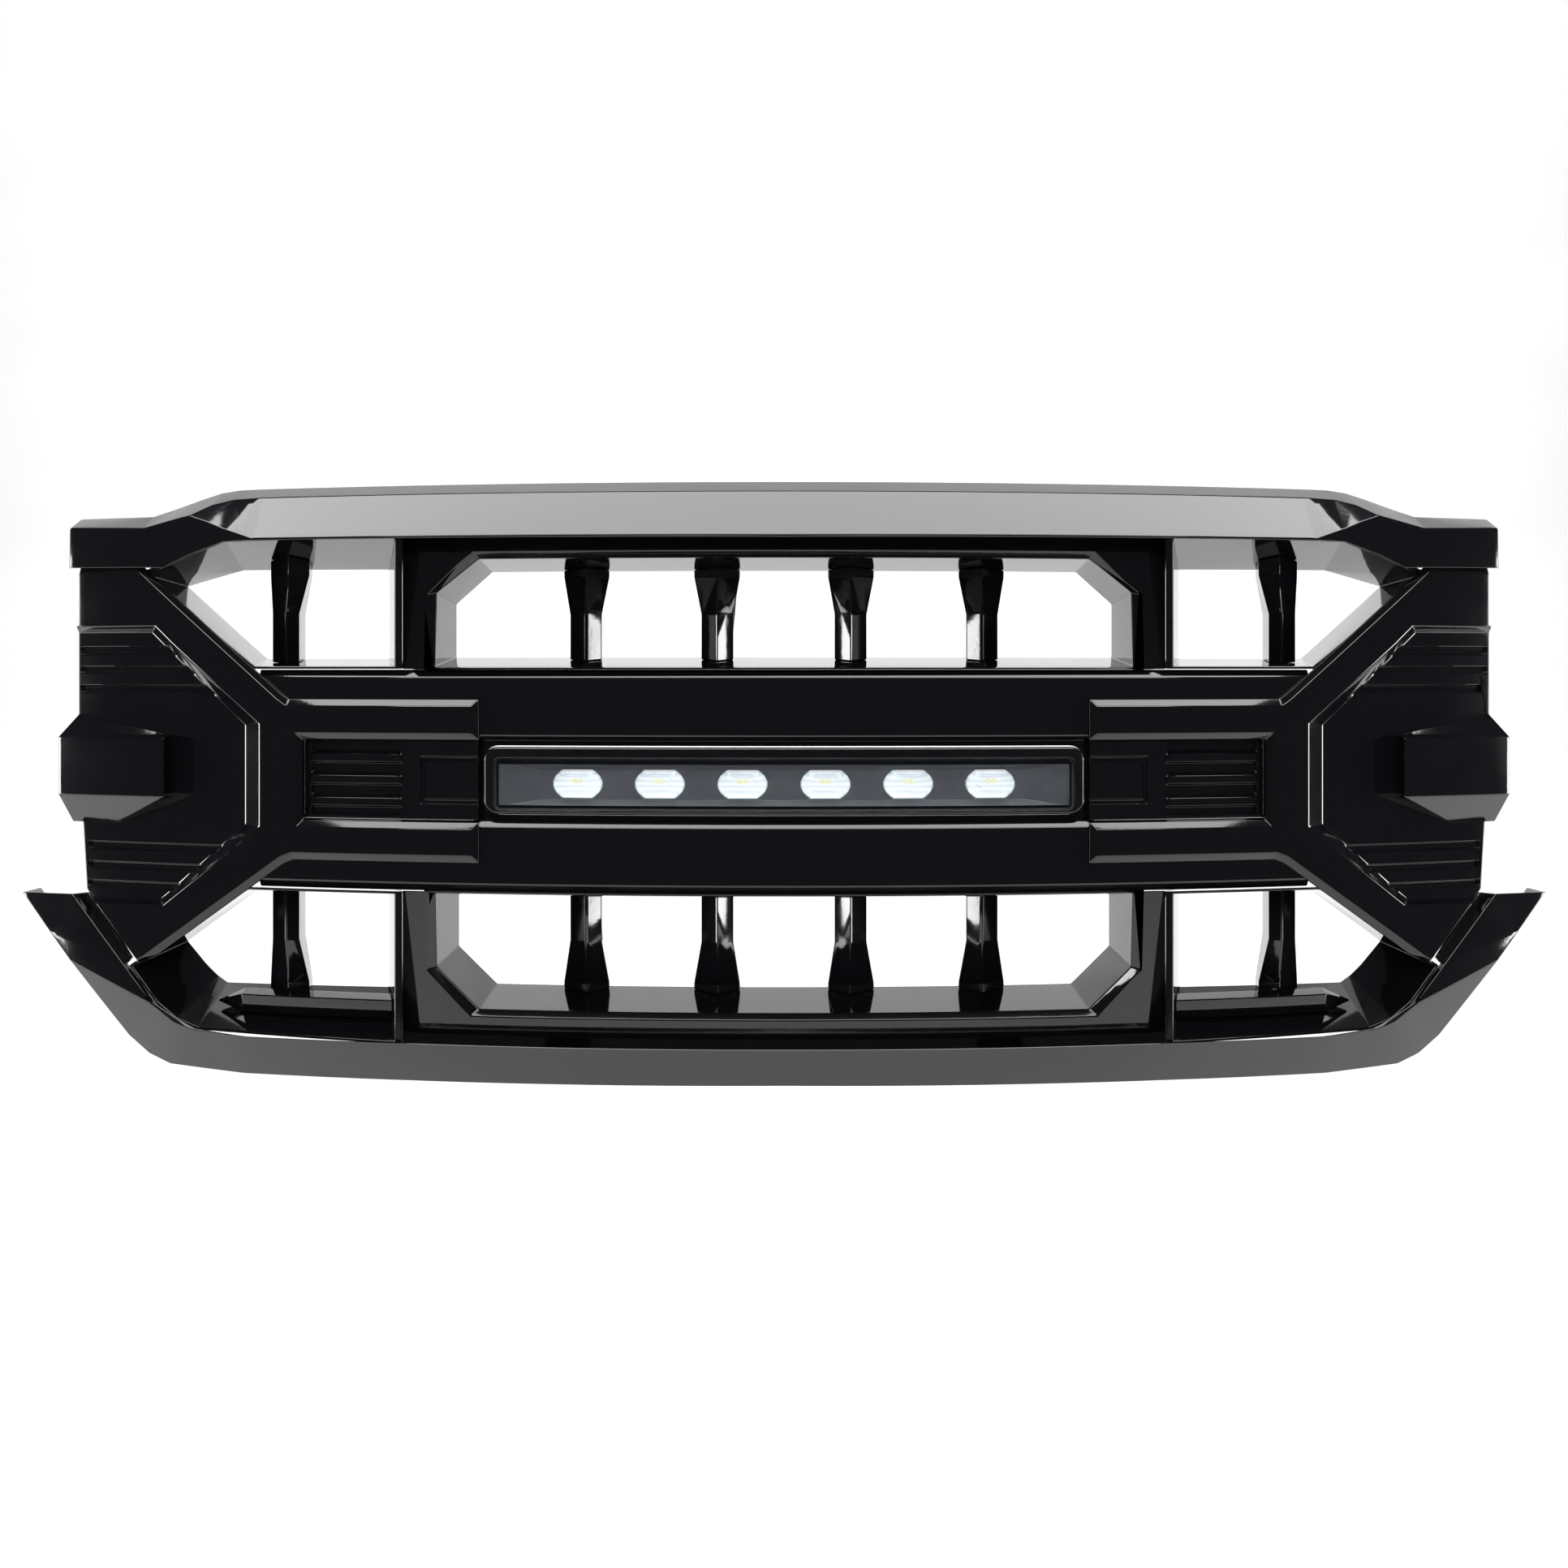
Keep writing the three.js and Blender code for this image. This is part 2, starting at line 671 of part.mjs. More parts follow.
const sideLowerFloor = slope(-390, 8, -350.5);

// Plan sections of the blades, [x from the nose, depth]: outer corner, nose, inner corner, back.
// The blades in the windows stand far back; those in the side ducts stand forward.
const WINDOW_BLADE = {
  stem: [[-18, 88], [0, 71], [17, 88], [15, 116], [-16, 116]],
  flare: [[-27, 108], [0, 91], [24, 108], [22, 116], [-25, 116]],
};
const SIDE_BLADE_PLAN = {
  stem: [[-19, 60], [0, 46], [13, 60], [8.5, 112], [-14, 112]],
  flare: [[-26, 78], [0, 62], [21, 78], [17, 112], [-21, 112]],
};
const BLADE_SKIN = 2.6;

// A blade whose flared end meets "foot" and whose stem end meets "tip"; neck and knee are heights.
// It is moulded hollow and open at the back.
function blade(plan, x, tip, neck, knee, foot) {
  const way = Math.sign(knee - neck);
  const touching = (section, surface, side) =>
    section.map(([dx, depth]) => [x + dx, depth, surface(depth) + side]);
  const level = (section, z) => section.map(([dx, depth]) => [x + dx, depth, z]);
  const skin = loft([
    touching(plan.stem, tip, way * GAP),
    level(plan.stem, neck),
    level(plan.flare, knee),
    touching(plan.flare, foot, -way * GAP),
  ]);
  const end = tip(plan.stem[3][1]) + way * 5;
  const hollow = loft([
    level(hollowed(plan.stem), end),
    level(hollowed(plan.stem), neck),
    level(hollowed(plan.flare), knee),
  ]);
  return cut(skin, hollow);
}

// The hollow's plan section, run out past the back of the blade.
const hollowed = (section) =>
  grow(section, -BLADE_SKIN).map(([x, depth], i) => [x, i > 2 ? section[3][1] + 3 : depth]);

function addBlades() {
  const upper = (x) => blade(WINDOW_BLADE, x, upperFloor, 66, 108, upperCeiling);
  const lower = (x) => blade(WINDOW_BLADE, x, lowerCeiling, -290, -338, lowerFloor);
  BLADE_CENTRES.forEach((x, i) => {
    const turn = x < 0 ? (body) => body : mirrored;
    addBent("upper_blade_" + (i + 1), turn(upper(-Math.abs(x))), GLOSS_BLACK);
    addBent("lower_blade_" + (i + 1), turn(lower(-Math.abs(x))), GLOSS_BLACK);
  });
  const sideUpper = blade(SIDE_BLADE_PLAN, -SIDE_BLADE, sideUpperFloor, 68, 112, sideUpperCeiling);
  const sideLower = blade(SIDE_BLADE_PLAN, -SIDE_BLADE, sideLowerCeiling, -293, -343, sideLowerFloor);
  addPair("side_blade_upper", sideUpper, GLOSS_BLACK);
  addPair("side_blade_lower", sideLower, GLOSS_BLACK);
}

// ---- winglets -----------------------------------------------------------------------------
// A wedge on the floor of each lower side duct, from the post out to a point.
function winglet() {
  const besidePost = (depth) => -418 - (27 * (depth - 8)) / (DUCT_REAR - 8) - 0.8;
  const profile = [[46, -375.6], [41.5, -366], [40, -354], [60, -349.5], [88, -360.3]];
  const inner = profile.map(([d, z]) => [besidePost(d), d, z]);
  const outer = profile.map(([d, z]) => [-603, d, z - 0.5]);
  const tip = profile.map(([d, z]) => [-636, 58 + (d - 52) * 0.08, -366 + (z + 366) * 0.08]);
  return cut(loft([inner, outer, tip]), sideBladeSleeve());
}

// Clears the winglet round the lower side blade.
function sideBladeSleeve() {
  const wide = grow(SIDE_BLADE_PLAN.flare, 1.2).map(([dx, depth]) => [dx - SIDE_BLADE, depth]);
  const ring = (z) => wide.map(([x, depth]) => [x, depth, z]);
  return loft([ring(-400), ring(-320)]);
}

// ---- lower valance ------------------------------------------------------------------------
// Per station of the left half: inner edge, outer edge, depth of the outer edge, rear of the return
// flange, and the lip behind the inner edge as [distance outwards, depth] points.
const VALANCE_LEFT = [
  {
    inner: [-804.7, -247.1],
    outer: [-871, -247.9],
    outerDepth: -9,
    rear: 44,
    lip: [[-20, 20], [-12.5, 18.5]],
  },
  {
    inner: [-745.7, -313.6],
    outer: [-835.6, -289.5],
    outerDepth: -6.2,
    rear: 47,
    lip: [[-14.5, 18], [-12, 16.5]],
  },
  {
    inner: [-739.4, -320.8],
    outer: [-831.8, -294],
    outerDepth: -5.9,
    rear: 48,
    lip: [[-4.6, 5], [-4, 2]],
  },
  {
    inner: [-699.3, -365.9],
    outer: [-807.7, -322.2],
    outerDepth: -4,
    rear: 50,
    lip: [[-4.6, 5], [-4, 2]],
  },
  {
    inner: [-673.9, -382.3],
    outer: [-740.7, -406.7],
    outerDepth: 26,
    rear: 70,
    lip: [[-3.4, 6.5], [-3, 4]],
  },
  {
    inner: [-661, -386.6],
    outer: [-715.1, -425.7],
    outerDepth: 28,
    rear: 80,
    lip: [[-1.4, 6.5], [-1, 4]],
  },
  {
    inner: [-648.9, -389.7],
    outer: [-689, -436],
    outerDepth: 30,
    rear: 90,
    lip: [[0.4, 6.5], [0, 4]],
  },
  {
    inner: [-590, -393.4],
    outer: [-600, -441],
    outerDepth: 32,
    rear: 100,
    lip: [[1.9, 6.5], [1.5, 4]],
  },
  {
    inner: [-403.8, -392.3],
    outer: [-403.8, -439],
    outerDepth: 32,
    rear: 100,
    lip: [[1.9, 6.5], [1.5, 4]],
  },
  {
    inner: [0, -391.8],
    outer: [0, -436.6],
    outerDepth: 32,
    rear: 100,
    lip: [[1.9, 6.5], [1.5, 4]],
  },
];
const VALANCE_FRONT = -4;

function valance() {
  const section = ({ inner, outer, outerDepth, rear, lip }) => {
    const reach = [outer[0] - inner[0], outer[1] - inner[1]];
    const width = Math.hypot(...reach);
    const line = [...lip, [0, VALANCE_FRONT], [width, outerDepth], [width - 2, rear]];
    return thicken(line, -WALL).map(([u, depth]) => [
      inner[0] + (reach[0] * u) / width,
      depth,
      inner[1] + (reach[1] * u) / width,
    ]);
  };
  return bothHalves(loft(VALANCE_LEFT.map(section)));
}

// ---- light bar ----------------------------------------------------------------------------
const rounded = (halfWidth, bottom, top, radius) => {
  const shape = new THREE.Shape();
  shape.moveTo(-halfWidth + radius, bottom);
  shape.lineTo(halfWidth - radius, bottom);
  shape.absarc(halfWidth - radius, bottom + radius, radius, -Math.PI / 2, 0);
  shape.lineTo(halfWidth, top - radius);
  shape.absarc(halfWidth - radius, top - radius, radius, 0, Math.PI / 2);
  shape.lineTo(-halfWidth + radius, top);
  shape.absarc(-halfWidth + radius, top - radius, radius, Math.PI / 2, Math.PI);
  shape.lineTo(-halfWidth, bottom + radius);
  shape.absarc(-halfWidth + radius, bottom + radius, radius, Math.PI, Math.PI * 1.5);
  const points = shape.getPoints(4).map((p) => [p.x, p.y]);
  return points.filter((p, i) => {
    const q = points[(i + 1) % points.length];
    return Math.hypot(p[0] - q[0], p[1] - q[1]) > 1e-3;
  });
};

const LENS_FRONT = 12;
const LENS_REAR = 15;
const PLATE_FRONT = 25;
const HOUSING_REAR = 58;

function lightHousing() {
  const body = loft([
    at(9, rounded(LIGHT_HALF - 2, LIGHT_BOTTOM + 2, LIGHT_TOP - 2, 13)),
    at(11, rounded(LIGHT_HALF, LIGHT_BOTTOM, LIGHT_TOP, 15)),
    at(HOUSING_REAR, rounded(LIGHT_HALF - 3, LIGHT_BOTTOM + 3, LIGHT_TOP - 3, 12)),
  ]);
  const window = loft([
    at(8, rounded(310, -144, -87.5, 8)),
    at(20, rounded(308, -142.5, -89, 6)),
  ]);
  const rebate = loft([
    at(LENS_FRONT - 0.3, rounded(313, -145.5, -86, 8)),
    at(20, rounded(313, -145.5, -86, 8)),
  ]);
  const room = loft([
    at(19, rounded(306.5, -141.5, -90, 4)),
    at(HOUSING_REAR - WALL, rounded(306.5, -141.5, -90, 4)),
  ]);
  const cableHole = block(-12, 12, HOUSING_REAR - 8, HOUSING_REAR + 4, -128, -104);
  return cut(body, window, rebate, room, cableHole);
}

const lightLens = () =>
  loft([
    at(LENS_FRONT, rounded(312, -144.5, -87, 7)),
    at(LENS_REAR, rounded(312, -144.5, -87, 7)),
  ]);

function lensSeal() {
  const ring = loft([
    at(LENS_REAR + GAP, rounded(312, -144.5, -87, 7)),
    at(19.6, rounded(312, -144.5, -87, 7)),
  ]);
  const inside = rounded(307, -141.8, -89.7, 4);
  return cut(ring, loft([at(LENS_REAR, inside), at(22, inside)]));
}

const opticCentres = Array.from(
  { length: OPTIC_COUNT },
  (_, i) => (i - (OPTIC_COUNT - 1) / 2) * OPTIC_PITCH,
);

// Barrel outline: straight top and bottom, arched ends.
function barrel(halfWidth, halfHeight) {
  const shape = new THREE.Shape();
  const flat = halfWidth * 0.62;
  shape.moveTo(-flat, -halfHeight);
  shape.lineTo(flat, -halfHeight);
  shape.quadraticCurveTo(halfWidth * 1.38, 0, flat, halfHeight);
  shape.lineTo(-flat, halfHeight);
  shape.quadraticCurveTo(-halfWidth * 1.38, 0, -flat, -halfHeight);
  const points = shape.getPoints(5).map((p) => [p.x, p.y]);
  return points.slice(0, -1);
}

const moved = (points, x, z) => points.map((p) => [p[0] + x, p[1] + z]);

function reflectorPlate() {
  const outline = rectangle(-304.5, 304.5, -138.5, -95);
  const plate = loft([at(PLATE_FRONT - 6, outline), at(PLATE_FRONT + 3, outline)]);
  const dish = loft([
    at(PLATE_FRONT, rectangle(-258, 258, -132.5, -101)),
    at(PLATE_FRONT - 6.5, rectangle(-306, 306, -140, -93.5)),
  ]);
  const seats = opticCentres.map((x) => {
    const seat = moved(barrel(OPTIC_HALF_WIDTH + 0.6, OPTIC_HALF_HEIGHT + 0.6), x, LIGHT_MIDDLE);
    return loft([at(PLATE_FRONT - 4, seat), at(PLATE_FRONT + 5, seat)]);
  });
  return cut(plate, dish, ...seats);
}

// A bulged optic: a barrel outline that narrows towards its crown.
function optic(x) {
  const ring = (scale, depth) =>
    at(depth, moved(barrel(OPTIC_HALF_WIDTH * scale, OPTIC_HALF_HEIGHT * scale), x, LIGHT_MIDDLE));
  return loft([ring(1, 33), ring(1, 22), ring(0.88, 18.2), ring(0.6, 16.4)]);
}

const circuitBoard = () => block(-288, 288, 34, 35.6, LIGHT_MIDDLE - 18, LIGHT_MIDDLE + 18);

const FIN_COUNT = 7;
const FIN_PITCH = 8;

function heatSink() {
  const half = ((FIN_COUNT - 1) * FIN_PITCH) / 2;
  const [root, end] = [HOUSING_REAR + GAP + 4, HOUSING_REAR + GAP + 18];
  const comb = [[HOUSING_REAR + GAP, LIGHT_MIDDLE - half - 1.2]];
  for (let i = 0; i < FIN_COUNT; i++) {
    const z = LIGHT_MIDDLE - half + i * FIN_PITCH;
    comb.push([end, z - 1.2], [end, z + 1.2]);
    if (i < FIN_COUNT - 1) comb.push([root, z + 1.2], [root, z + FIN_PITCH - 1.2]);
  }
  comb.push([HOUSING_REAR + GAP, LIGHT_MIDDLE + half + 1.2]);
  const sink = loft([across(-250, comb), across(250, comb)]);
  return cut(sink, block(-20, 20, HOUSING_REAR - 1, end + 5, -140, -90));
}

// Two-way socket on the back of the light bar; the loom that plugs into it is not modelled.
function inletSocket() {
  const shell = join(
    block(-16, 16, HOUSING_REAR + GAP, HOUSING_REAR + 5, -130, -102),
    block(-11, 11, HOUSING_REAR - 4, HOUSING_REAR + 26, -126, -106),
  );
  const mouth = block(-9, 9, HOUSING_REAR + 8, HOUSING_REAR + 28, -124, -108);
  const pins = [-4, 4].map((x) =>
    block(x - 1, x + 1, HOUSING_REAR + 6, HOUSING_REAR + 22, -117.5, -114.5),
  );
  return join(cut(shell, mouth), ...pins);
}

// A strap from each end of the housing to the back of the vent insert beside it.
const STRAP_EAR = 21 + GAP;

function lightBracket() {
  const back = HOUSING_REAR + GAP;
  return join(
    block(-344, -296, back, back + 3, -126, -98),
    block(-344, -341, STRAP_EAR, back + 3, -126, -98),
    block(-378, -341, STRAP_EAR, STRAP_EAR + 3, -126, -98),
  );
}

// ---- brackets and screws ------------------------------------------------------------------
const SCREW_LENGTH = 9;

// A rod along +Y through x = 0, z = 0.
const rod = (from, to, radius, sides) =>
  new THREE.CylinderGeometry(radius, radius, to - from, sides).translate(0, (from + to) / 2, 0);

// Hexagon-headed screw, driven from behind: its head seats at y = 0 and the shank points forwards.
const screw = () =>
  join(
    rod(0.2, 1.8, HEAD_RADIUS + 1.5, 12),
    rod(1.6, 6, HEAD_RADIUS, 6),
    rod(-SCREW_LENGTH, 1, SCREW_RADIUS, 10),
  );

const hole = () => rod(-SCREW_LENGTH - 0.6, 12, SCREW_RADIUS + 0.5, 10);

// A straight part turned to stand square on the bent surface at x and depth.
function square(geometry, x, depth, z) {
  const station = Math.floor(Math.abs(x) / FACET) * FACET;
  const rise = (setBack(station + FACET) - setBack(station)) / FACET;
  const turned = geometry.rotateZ(Math.sign(x) * Math.atan(rise));
  return turned.translate(...placed(x, depth, z).toArray());
}

const HAT_HALF = 45;
const HAT_CROWN = 22;
const HAT_HEIGHT = 44;
const HAT_SCREW_X = 33;

// A straight box about the bracket's own middle, given by x and y.
const plateAt = (x0, x1, y0, y1, height) => block(x0, x1, y0, y1, -height / 2, height / 2);

// Top-hat bracket: feet on the support rail, crown against the vehicle.
function centreBracket() {
  const foot = RAIL_REAR - REAR_PLANE + setBack(HAT_HALF) + GAP;
  const hat = join(
    plateAt(-HAT_CROWN, HAT_CROWN, -3, 0, HAT_HEIGHT),
    plateAt(-HAT_CROWN, -HAT_CROWN + 3, foot, 0, HAT_HEIGHT),
    plateAt(HAT_CROWN - 3, HAT_CROWN, foot, 0, HAT_HEIGHT),
    plateAt(-HAT_HALF, -HAT_CROWN + 3, foot, foot + 3, HAT_HEIGHT),
    plateAt(HAT_CROWN - 3, HAT_HALF, foot, foot + 3, HAT_HEIGHT),
  );
  const seat = foot + 3;
  const holes = [-1, 1].map((side) => hole().translate(side * HAT_SCREW_X, seat, 0));
  return { body: cut(hat, ...holes), seat, holes };
}

const SIDE_PAD_X = 650;
const SIDE_PAD_Z = 16;
const SIDE_PAD_REAR = setBack(SIDE_PAD_X) + TRAY_REAR + 62 - REAR_PLANE;
const LOWER_PAD_X = 250;
const LOWER_PAD_Z = -410;
const LOWER_PAD_HALF_HEIGHT = 22.4;
const LOWER_PAD_REAR = setBack(LOWER_PAD_X) + DUCT_REAR + 6 - REAR_PLANE;

// A pad whose rear face looks straight back, on the end of a bent part.
function withPad(bent, x, rear, z, halfWidth, halfHeight) {
  const high = z - BRACKET_HEIGHT;
  const pad = block(x - halfWidth, x + halfWidth, rear - 4, rear, high - halfHeight, high + halfHeight);
  const beyond = block(x - 90, x + 90, rear - 1, rear + 90, high - 90, high + 90);
  return join(cut(bent, beyond), pad);
}

// Stand-off from the back of a wing's tray: a channel with a foot in front and a pad behind.
function sidePad() {
  const [left, right] = [-SIDE_PAD_X - 20, -SIDE_PAD_X + 20];
  const [low, high] = [SIDE_PAD_Z - 14, SIDE_PAD_Z + 14];
  const foot = block(left - 22, right, TRAY_REAR + GAP, TRAY_REAR + GAP + 3, low, high);
  const walls = [left, right - 3].map((x) =>
    block(x, x + 3, TRAY_REAR + GAP, TRAY_REAR + 90, low, high),
  );
  const bent = bend(join(foot, ...walls));
  return withPad(bent, -SIDE_PAD_X, SIDE_PAD_REAR, SIDE_PAD_Z, 26, 20);
}

// Angle on the valance's floor with an upright pad behind.
function lowerPad() {
  const low = LOWER_PAD_Z - LOWER_PAD_HALF_HEIGHT;
  const foot = block(-LOWER_PAD_X - 26, -LOWER_PAD_X + 26, 64, 140, low, low + 3);
  return withPad(bend(foot), -LOWER_PAD_X, LOWER_PAD_REAR, LOWER_PAD_Z, 26, LOWER_PAD_HALF_HEIGHT);
}

// ---- putting it together ------------------------------------------------------------------
const hat = centreBracket();
addBent("hood_trim", hoodTrim(), GLOSS_BLACK);
add("support_rail", cut(bend(supportRail()), ...hat.holes), SATIN_BLACK);
add("centre_bracket", hat.body, STEEL);
for (const [side, sign] of [["left", -1], ["right", 1]])
  add("rail_screw_" + side, screw().translate(sign * HAT_SCREW_X, hat.seat, 0), STEEL);

const flipOf = (sign) => (sign < 0 ? (body) => body : mirrored);
for (const [side, sign] of [["left", -1], ["right", 1]]) {
  const flip = flipOf(sign);
  const padSeat = [-SIDE_PAD_X - 31, TRAY_REAR + GAP + 3, SIDE_PAD_Z];
  const padHole = square(hole(), ...padSeat);
  add("side_wing_" + side, flip(cut(bend(sideWing()), padHole)), GLOSS_BLACK);
  add("side_pad_" + side, flip(cut(sidePad(), padHole)), SATIN_BLACK);
  add("pad_screw_" + side, flip(square(screw(), ...padSeat)), STEEL);

  const strapSeat = [-364, STRAP_EAR + 3, -112];
  const strapHole = square(hole(), ...strapSeat);
  add("vent_insert_" + side, flip(cut(bend(ventInsert()), strapHole)), GLOSS_BLACK);
  add("light_bracket_" + side, flip(cut(bend(lightBracket()), strapHole)), STEEL);
  add("strap_screw_" + side, flip(square(screw(), ...strapSeat)), STEEL);
  add("lower_pad_" + side, flip(lowerPad()), SATIN_BLACK);
}

addBent("centre_bar", centreBar(), GLOSS_BLACK);
addPair("end_block", endBlock(), GLOSS_BLACK);
addBent("window_frame_upper", upperFrame(), GLOSS_BLACK);
addBent("window_frame_lower", lowerFrame(), GLOSS_BLACK);
const UPPER_DUCT_WALLS = [6, WALL, TO_POST, WALL, WALL];
const LOWER_DUCT_WALLS = [WALL, TO_POST, WALL, WALL, WALL, WALL, WALL];
addPair("side_duct_upper", duct(UPPER_DUCT_FRONT, UPPER_DUCT_REAR, UPPER_DUCT_WALLS), GLOSS_BLACK);
addPair("side_duct_lower", duct(LOWER_DUCT_FRONT, LOWER_DUCT_REAR, LOWER_DUCT_WALLS), GLOSS_BLACK);
addBlades();
addPair("winglet", winglet(), GLOSS_BLACK);
addBent("lower_valance", valance(), GLOSS_BLACK);

addBent("light_housing", lightHousing(), SATIN_BLACK);
addBent("light_lens", lightLens(), CLEAR_PLASTIC);
addBent("lens_seal", lensSeal(), RUBBER);
addBent("reflector_plate", reflectorPlate(), REFLECTOR);
opticCentres.forEach((x, i) => addBent("led_optic_" + (i + 1), optic(x), OPTIC_PLASTIC));
addBent("circuit_board", circuitBoard(), BOARD_GREEN);
addBent("heat_sink", heatSink(), CAST_ALUMINIUM);
addBent("inlet_socket", inletSocket(), SATIN_BLACK);

export default grille;
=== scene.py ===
"""Looks of the pickup front grille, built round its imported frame. Metres, front towards -Y, +Z up."""
import math

import bmesh
import bpy
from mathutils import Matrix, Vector


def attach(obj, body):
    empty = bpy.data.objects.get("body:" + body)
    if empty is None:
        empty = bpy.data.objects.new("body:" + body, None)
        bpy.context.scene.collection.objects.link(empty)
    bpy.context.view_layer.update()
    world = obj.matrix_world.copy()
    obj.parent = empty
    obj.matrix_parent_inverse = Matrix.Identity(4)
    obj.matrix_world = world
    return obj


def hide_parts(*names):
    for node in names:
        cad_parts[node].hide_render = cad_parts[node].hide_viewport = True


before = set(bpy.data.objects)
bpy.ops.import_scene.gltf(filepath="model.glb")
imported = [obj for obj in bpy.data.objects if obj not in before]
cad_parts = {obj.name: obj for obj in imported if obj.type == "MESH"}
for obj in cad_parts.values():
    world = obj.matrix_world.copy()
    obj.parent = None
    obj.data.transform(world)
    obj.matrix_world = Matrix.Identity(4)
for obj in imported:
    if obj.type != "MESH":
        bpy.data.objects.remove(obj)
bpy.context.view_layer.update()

MM = 0.001
SWEEP_RADIUS = 1.850  # plan radius of the front
FACET = 0.100  # width of the flats that the solids are made of
SLICE = 0.0125  # width of the strips that the shown mouldings are bent in
REAR_PLANE = 0.130  # depth of the origin behind the front face of the side wings
BRACKET_HEIGHT = 0.170  # height of the origin above the centre bar's top edge


# ---- the sweep ------------------------------------------------------------------------------
def arc_depth(x):
    return SWEEP_RADIUS - math.sqrt(SWEEP_RADIUS**2 - x * x)


def facet_depth(x):
    """The same sweep as the solids have it, straight between stations."""
    station = math.floor(abs(x) / FACET) * FACET
    part = (abs(x) - station) / FACET
    return arc_depth(station) * (1 - part) + arc_depth(station + FACET) * part


def swept(x, depth, height):
    """A point given flat: x, depth behind the wings' face, height above the centre bar's top edge."""
    return Vector((x, depth + arc_depth(x) - REAR_PLANE, height - BRACKET_HEIGHT))


# ---- materials ------------------------------------------------------------------------------
def linear(code):
    """An sRGB hex colour as linear RGBA."""
    channels = [int(code[i : i + 2], 16) / 255 for i in (1, 3, 5)]
    curve = [c / 12.92 if c <= 0.04045 else ((c + 0.055) / 1.055) ** 2.4 for c in channels]
    return (*curve, 1.0)


def add(tree, kind, links=None, **settings):
    """Adds a node: links and values go by input socket, and all other settings are its attributes."""
    node = tree.nodes.new(kind)
    values = settings.pop("values", {})
    for key, value in settings.items():
        setattr(node, key, value)
    for key, value in values.items():
        node.inputs[key].default_value = value
    for key, socket in (links or {}).items():
        tree.links.new(socket, node.inputs[key])
    return node


def blank_material(name):
    material = bpy.data.materials.new(name)
    material.use_nodes = True
    material.node_tree.nodes.clear()
    return material, material.node_tree


def finish_material(tree, shader):
    add(tree, "ShaderNodeOutputMaterial", {"Surface": shader})


def object_coords(tree):
    return add(tree, "ShaderNodeTexCoord").outputs["Object"]


def noise(tree, coords, scale, detail=3.0):
    values = {"Scale": scale, "Detail": detail, "Roughness": 0.55}
    return add(tree, "ShaderNodeTexNoise", {"Vector": coords}, values=values).outputs["Fac"]


def mapped(tree, value, low, high):
    links = {"Value": value}
    values = {"From Min": 0.3, "From Max": 0.7, "To Min": low, "To Max": high}
    return add(tree, "ShaderNodeMapRange", links, values=values).outputs["Result"]


def bump(tree, height, distance, strength=1.0):
    links = {"Height": height}
    values = {"Distance": distance, "Strength": strength}
    return add(tree, "ShaderNodeBump", links, values=values).outputs["Normal"]


def mixed(tree, factor, first, second):
    node = add(tree, "ShaderNodeMix", data_type="RGBA")
    node.inputs[6].default_value = linear(first)
    node.inputs[7].default_value = linear(second)
    tree.links.new(factor, node.inputs[0])
    return node.outputs[2]


def gloss_abs():
    """Moulded piano-black ABS: deep black, wet gloss, faint waviness and a little settled dust."""
    material, tree = blank_material("piano_black_abs")
    coords = object_coords(tree)
    dust = noise(tree, coords, 900.0)
    colour = mixed(tree, mapped(tree, dust, 0.0, 1.0), "#0a0a0c", "#0e0e11")
    sheen = mapped(tree, noise(tree, coords, 14.0), 0.045, 0.085)
    skin = bump(tree, noise(tree, coords, 160.0, 1.0), 0.00002)
    links = {"Base Color": colour, "Roughness": sheen, "Normal": skin}
    values = {"IOR": 1.54, "Metallic": 0.0}
    shader = add(tree, "ShaderNodeBsdfPrincipled", links, values=values)
    finish_material(tree, shader.outputs[0])
    return material


def satin_nylon(name="satin_black_nylon", dark="#141416", light="#1d1d20", rough=(0.42, 0.58)):
    """Black glass-filled nylon: satin, with a fine moulded grain that breaks up the light."""
    material, tree = blank_material(name)
    coords = object_coords(tree)
    colour = mixed(tree, mapped(tree, noise(tree, coords, 60.0), 0.0, 1.0), dark, light)
    roughness = mapped(tree, noise(tree, coords, 35.0), *rough)
    grain = bump(tree, noise(tree, coords, 2600.0), 0.00004)
    links = {"Base Color": colour, "Roughness": roughness, "Normal": grain}
    shader = add(tree, "ShaderNodeBsdfPrincipled", links, values={"IOR": 1.53, "Metallic": 0.0})
    finish_material(tree, shader.outputs[0])
    return material


def plated_steel():
    """Zinc-plated pressed steel: bright grey with cloudy patches and rolling marks."""
    material, tree = blank_material("zinc_plated_steel")
    coords = object_coords(tree)
    colour = mixed(tree, mapped(tree, noise(tree, coords, 120.0), 0.0, 1.0), "#a2a5a8", "#c3c5c6")
    roughness = mapped(tree, noise(tree, coords, 300.0), 0.26, 0.42)
    links = {"Base Color": colour, "Roughness": roughness}
    shader = add(tree, "ShaderNodeBsdfPrincipled", links, values={"Metallic": 1.0})
    finish_material(tree, shader.outputs[0])
    return material


def extruded_aluminium():
    """Aluminium extrusion: dull silver with fine lines along its length."""
    material, tree = blank_material("extruded_aluminium")
    coords = object_coords(tree)
    values = {"Scale": (6.0, 900.0, 900.0)}
    stretched = add(tree, "ShaderNodeMapping", {"Vector": coords}, values=values)
    lines = noise(tree, stretched.outputs[0], 1.0, 2.0)
    colour = mixed(tree, mapped(tree, lines, 0.0, 1.0), "#8f9295", "#adb0b2")
    links = {
        "Base Color": colour,
        "Roughness": mapped(tree, lines, 0.34, 0.5),
        "Normal": bump(tree, lines, 0.00003),
    }
    shader = add(tree, "ShaderNodeBsdfPrincipled", links, values={"Metallic": 1.0})
    finish_material(tree, shader.outputs[0])
    return material


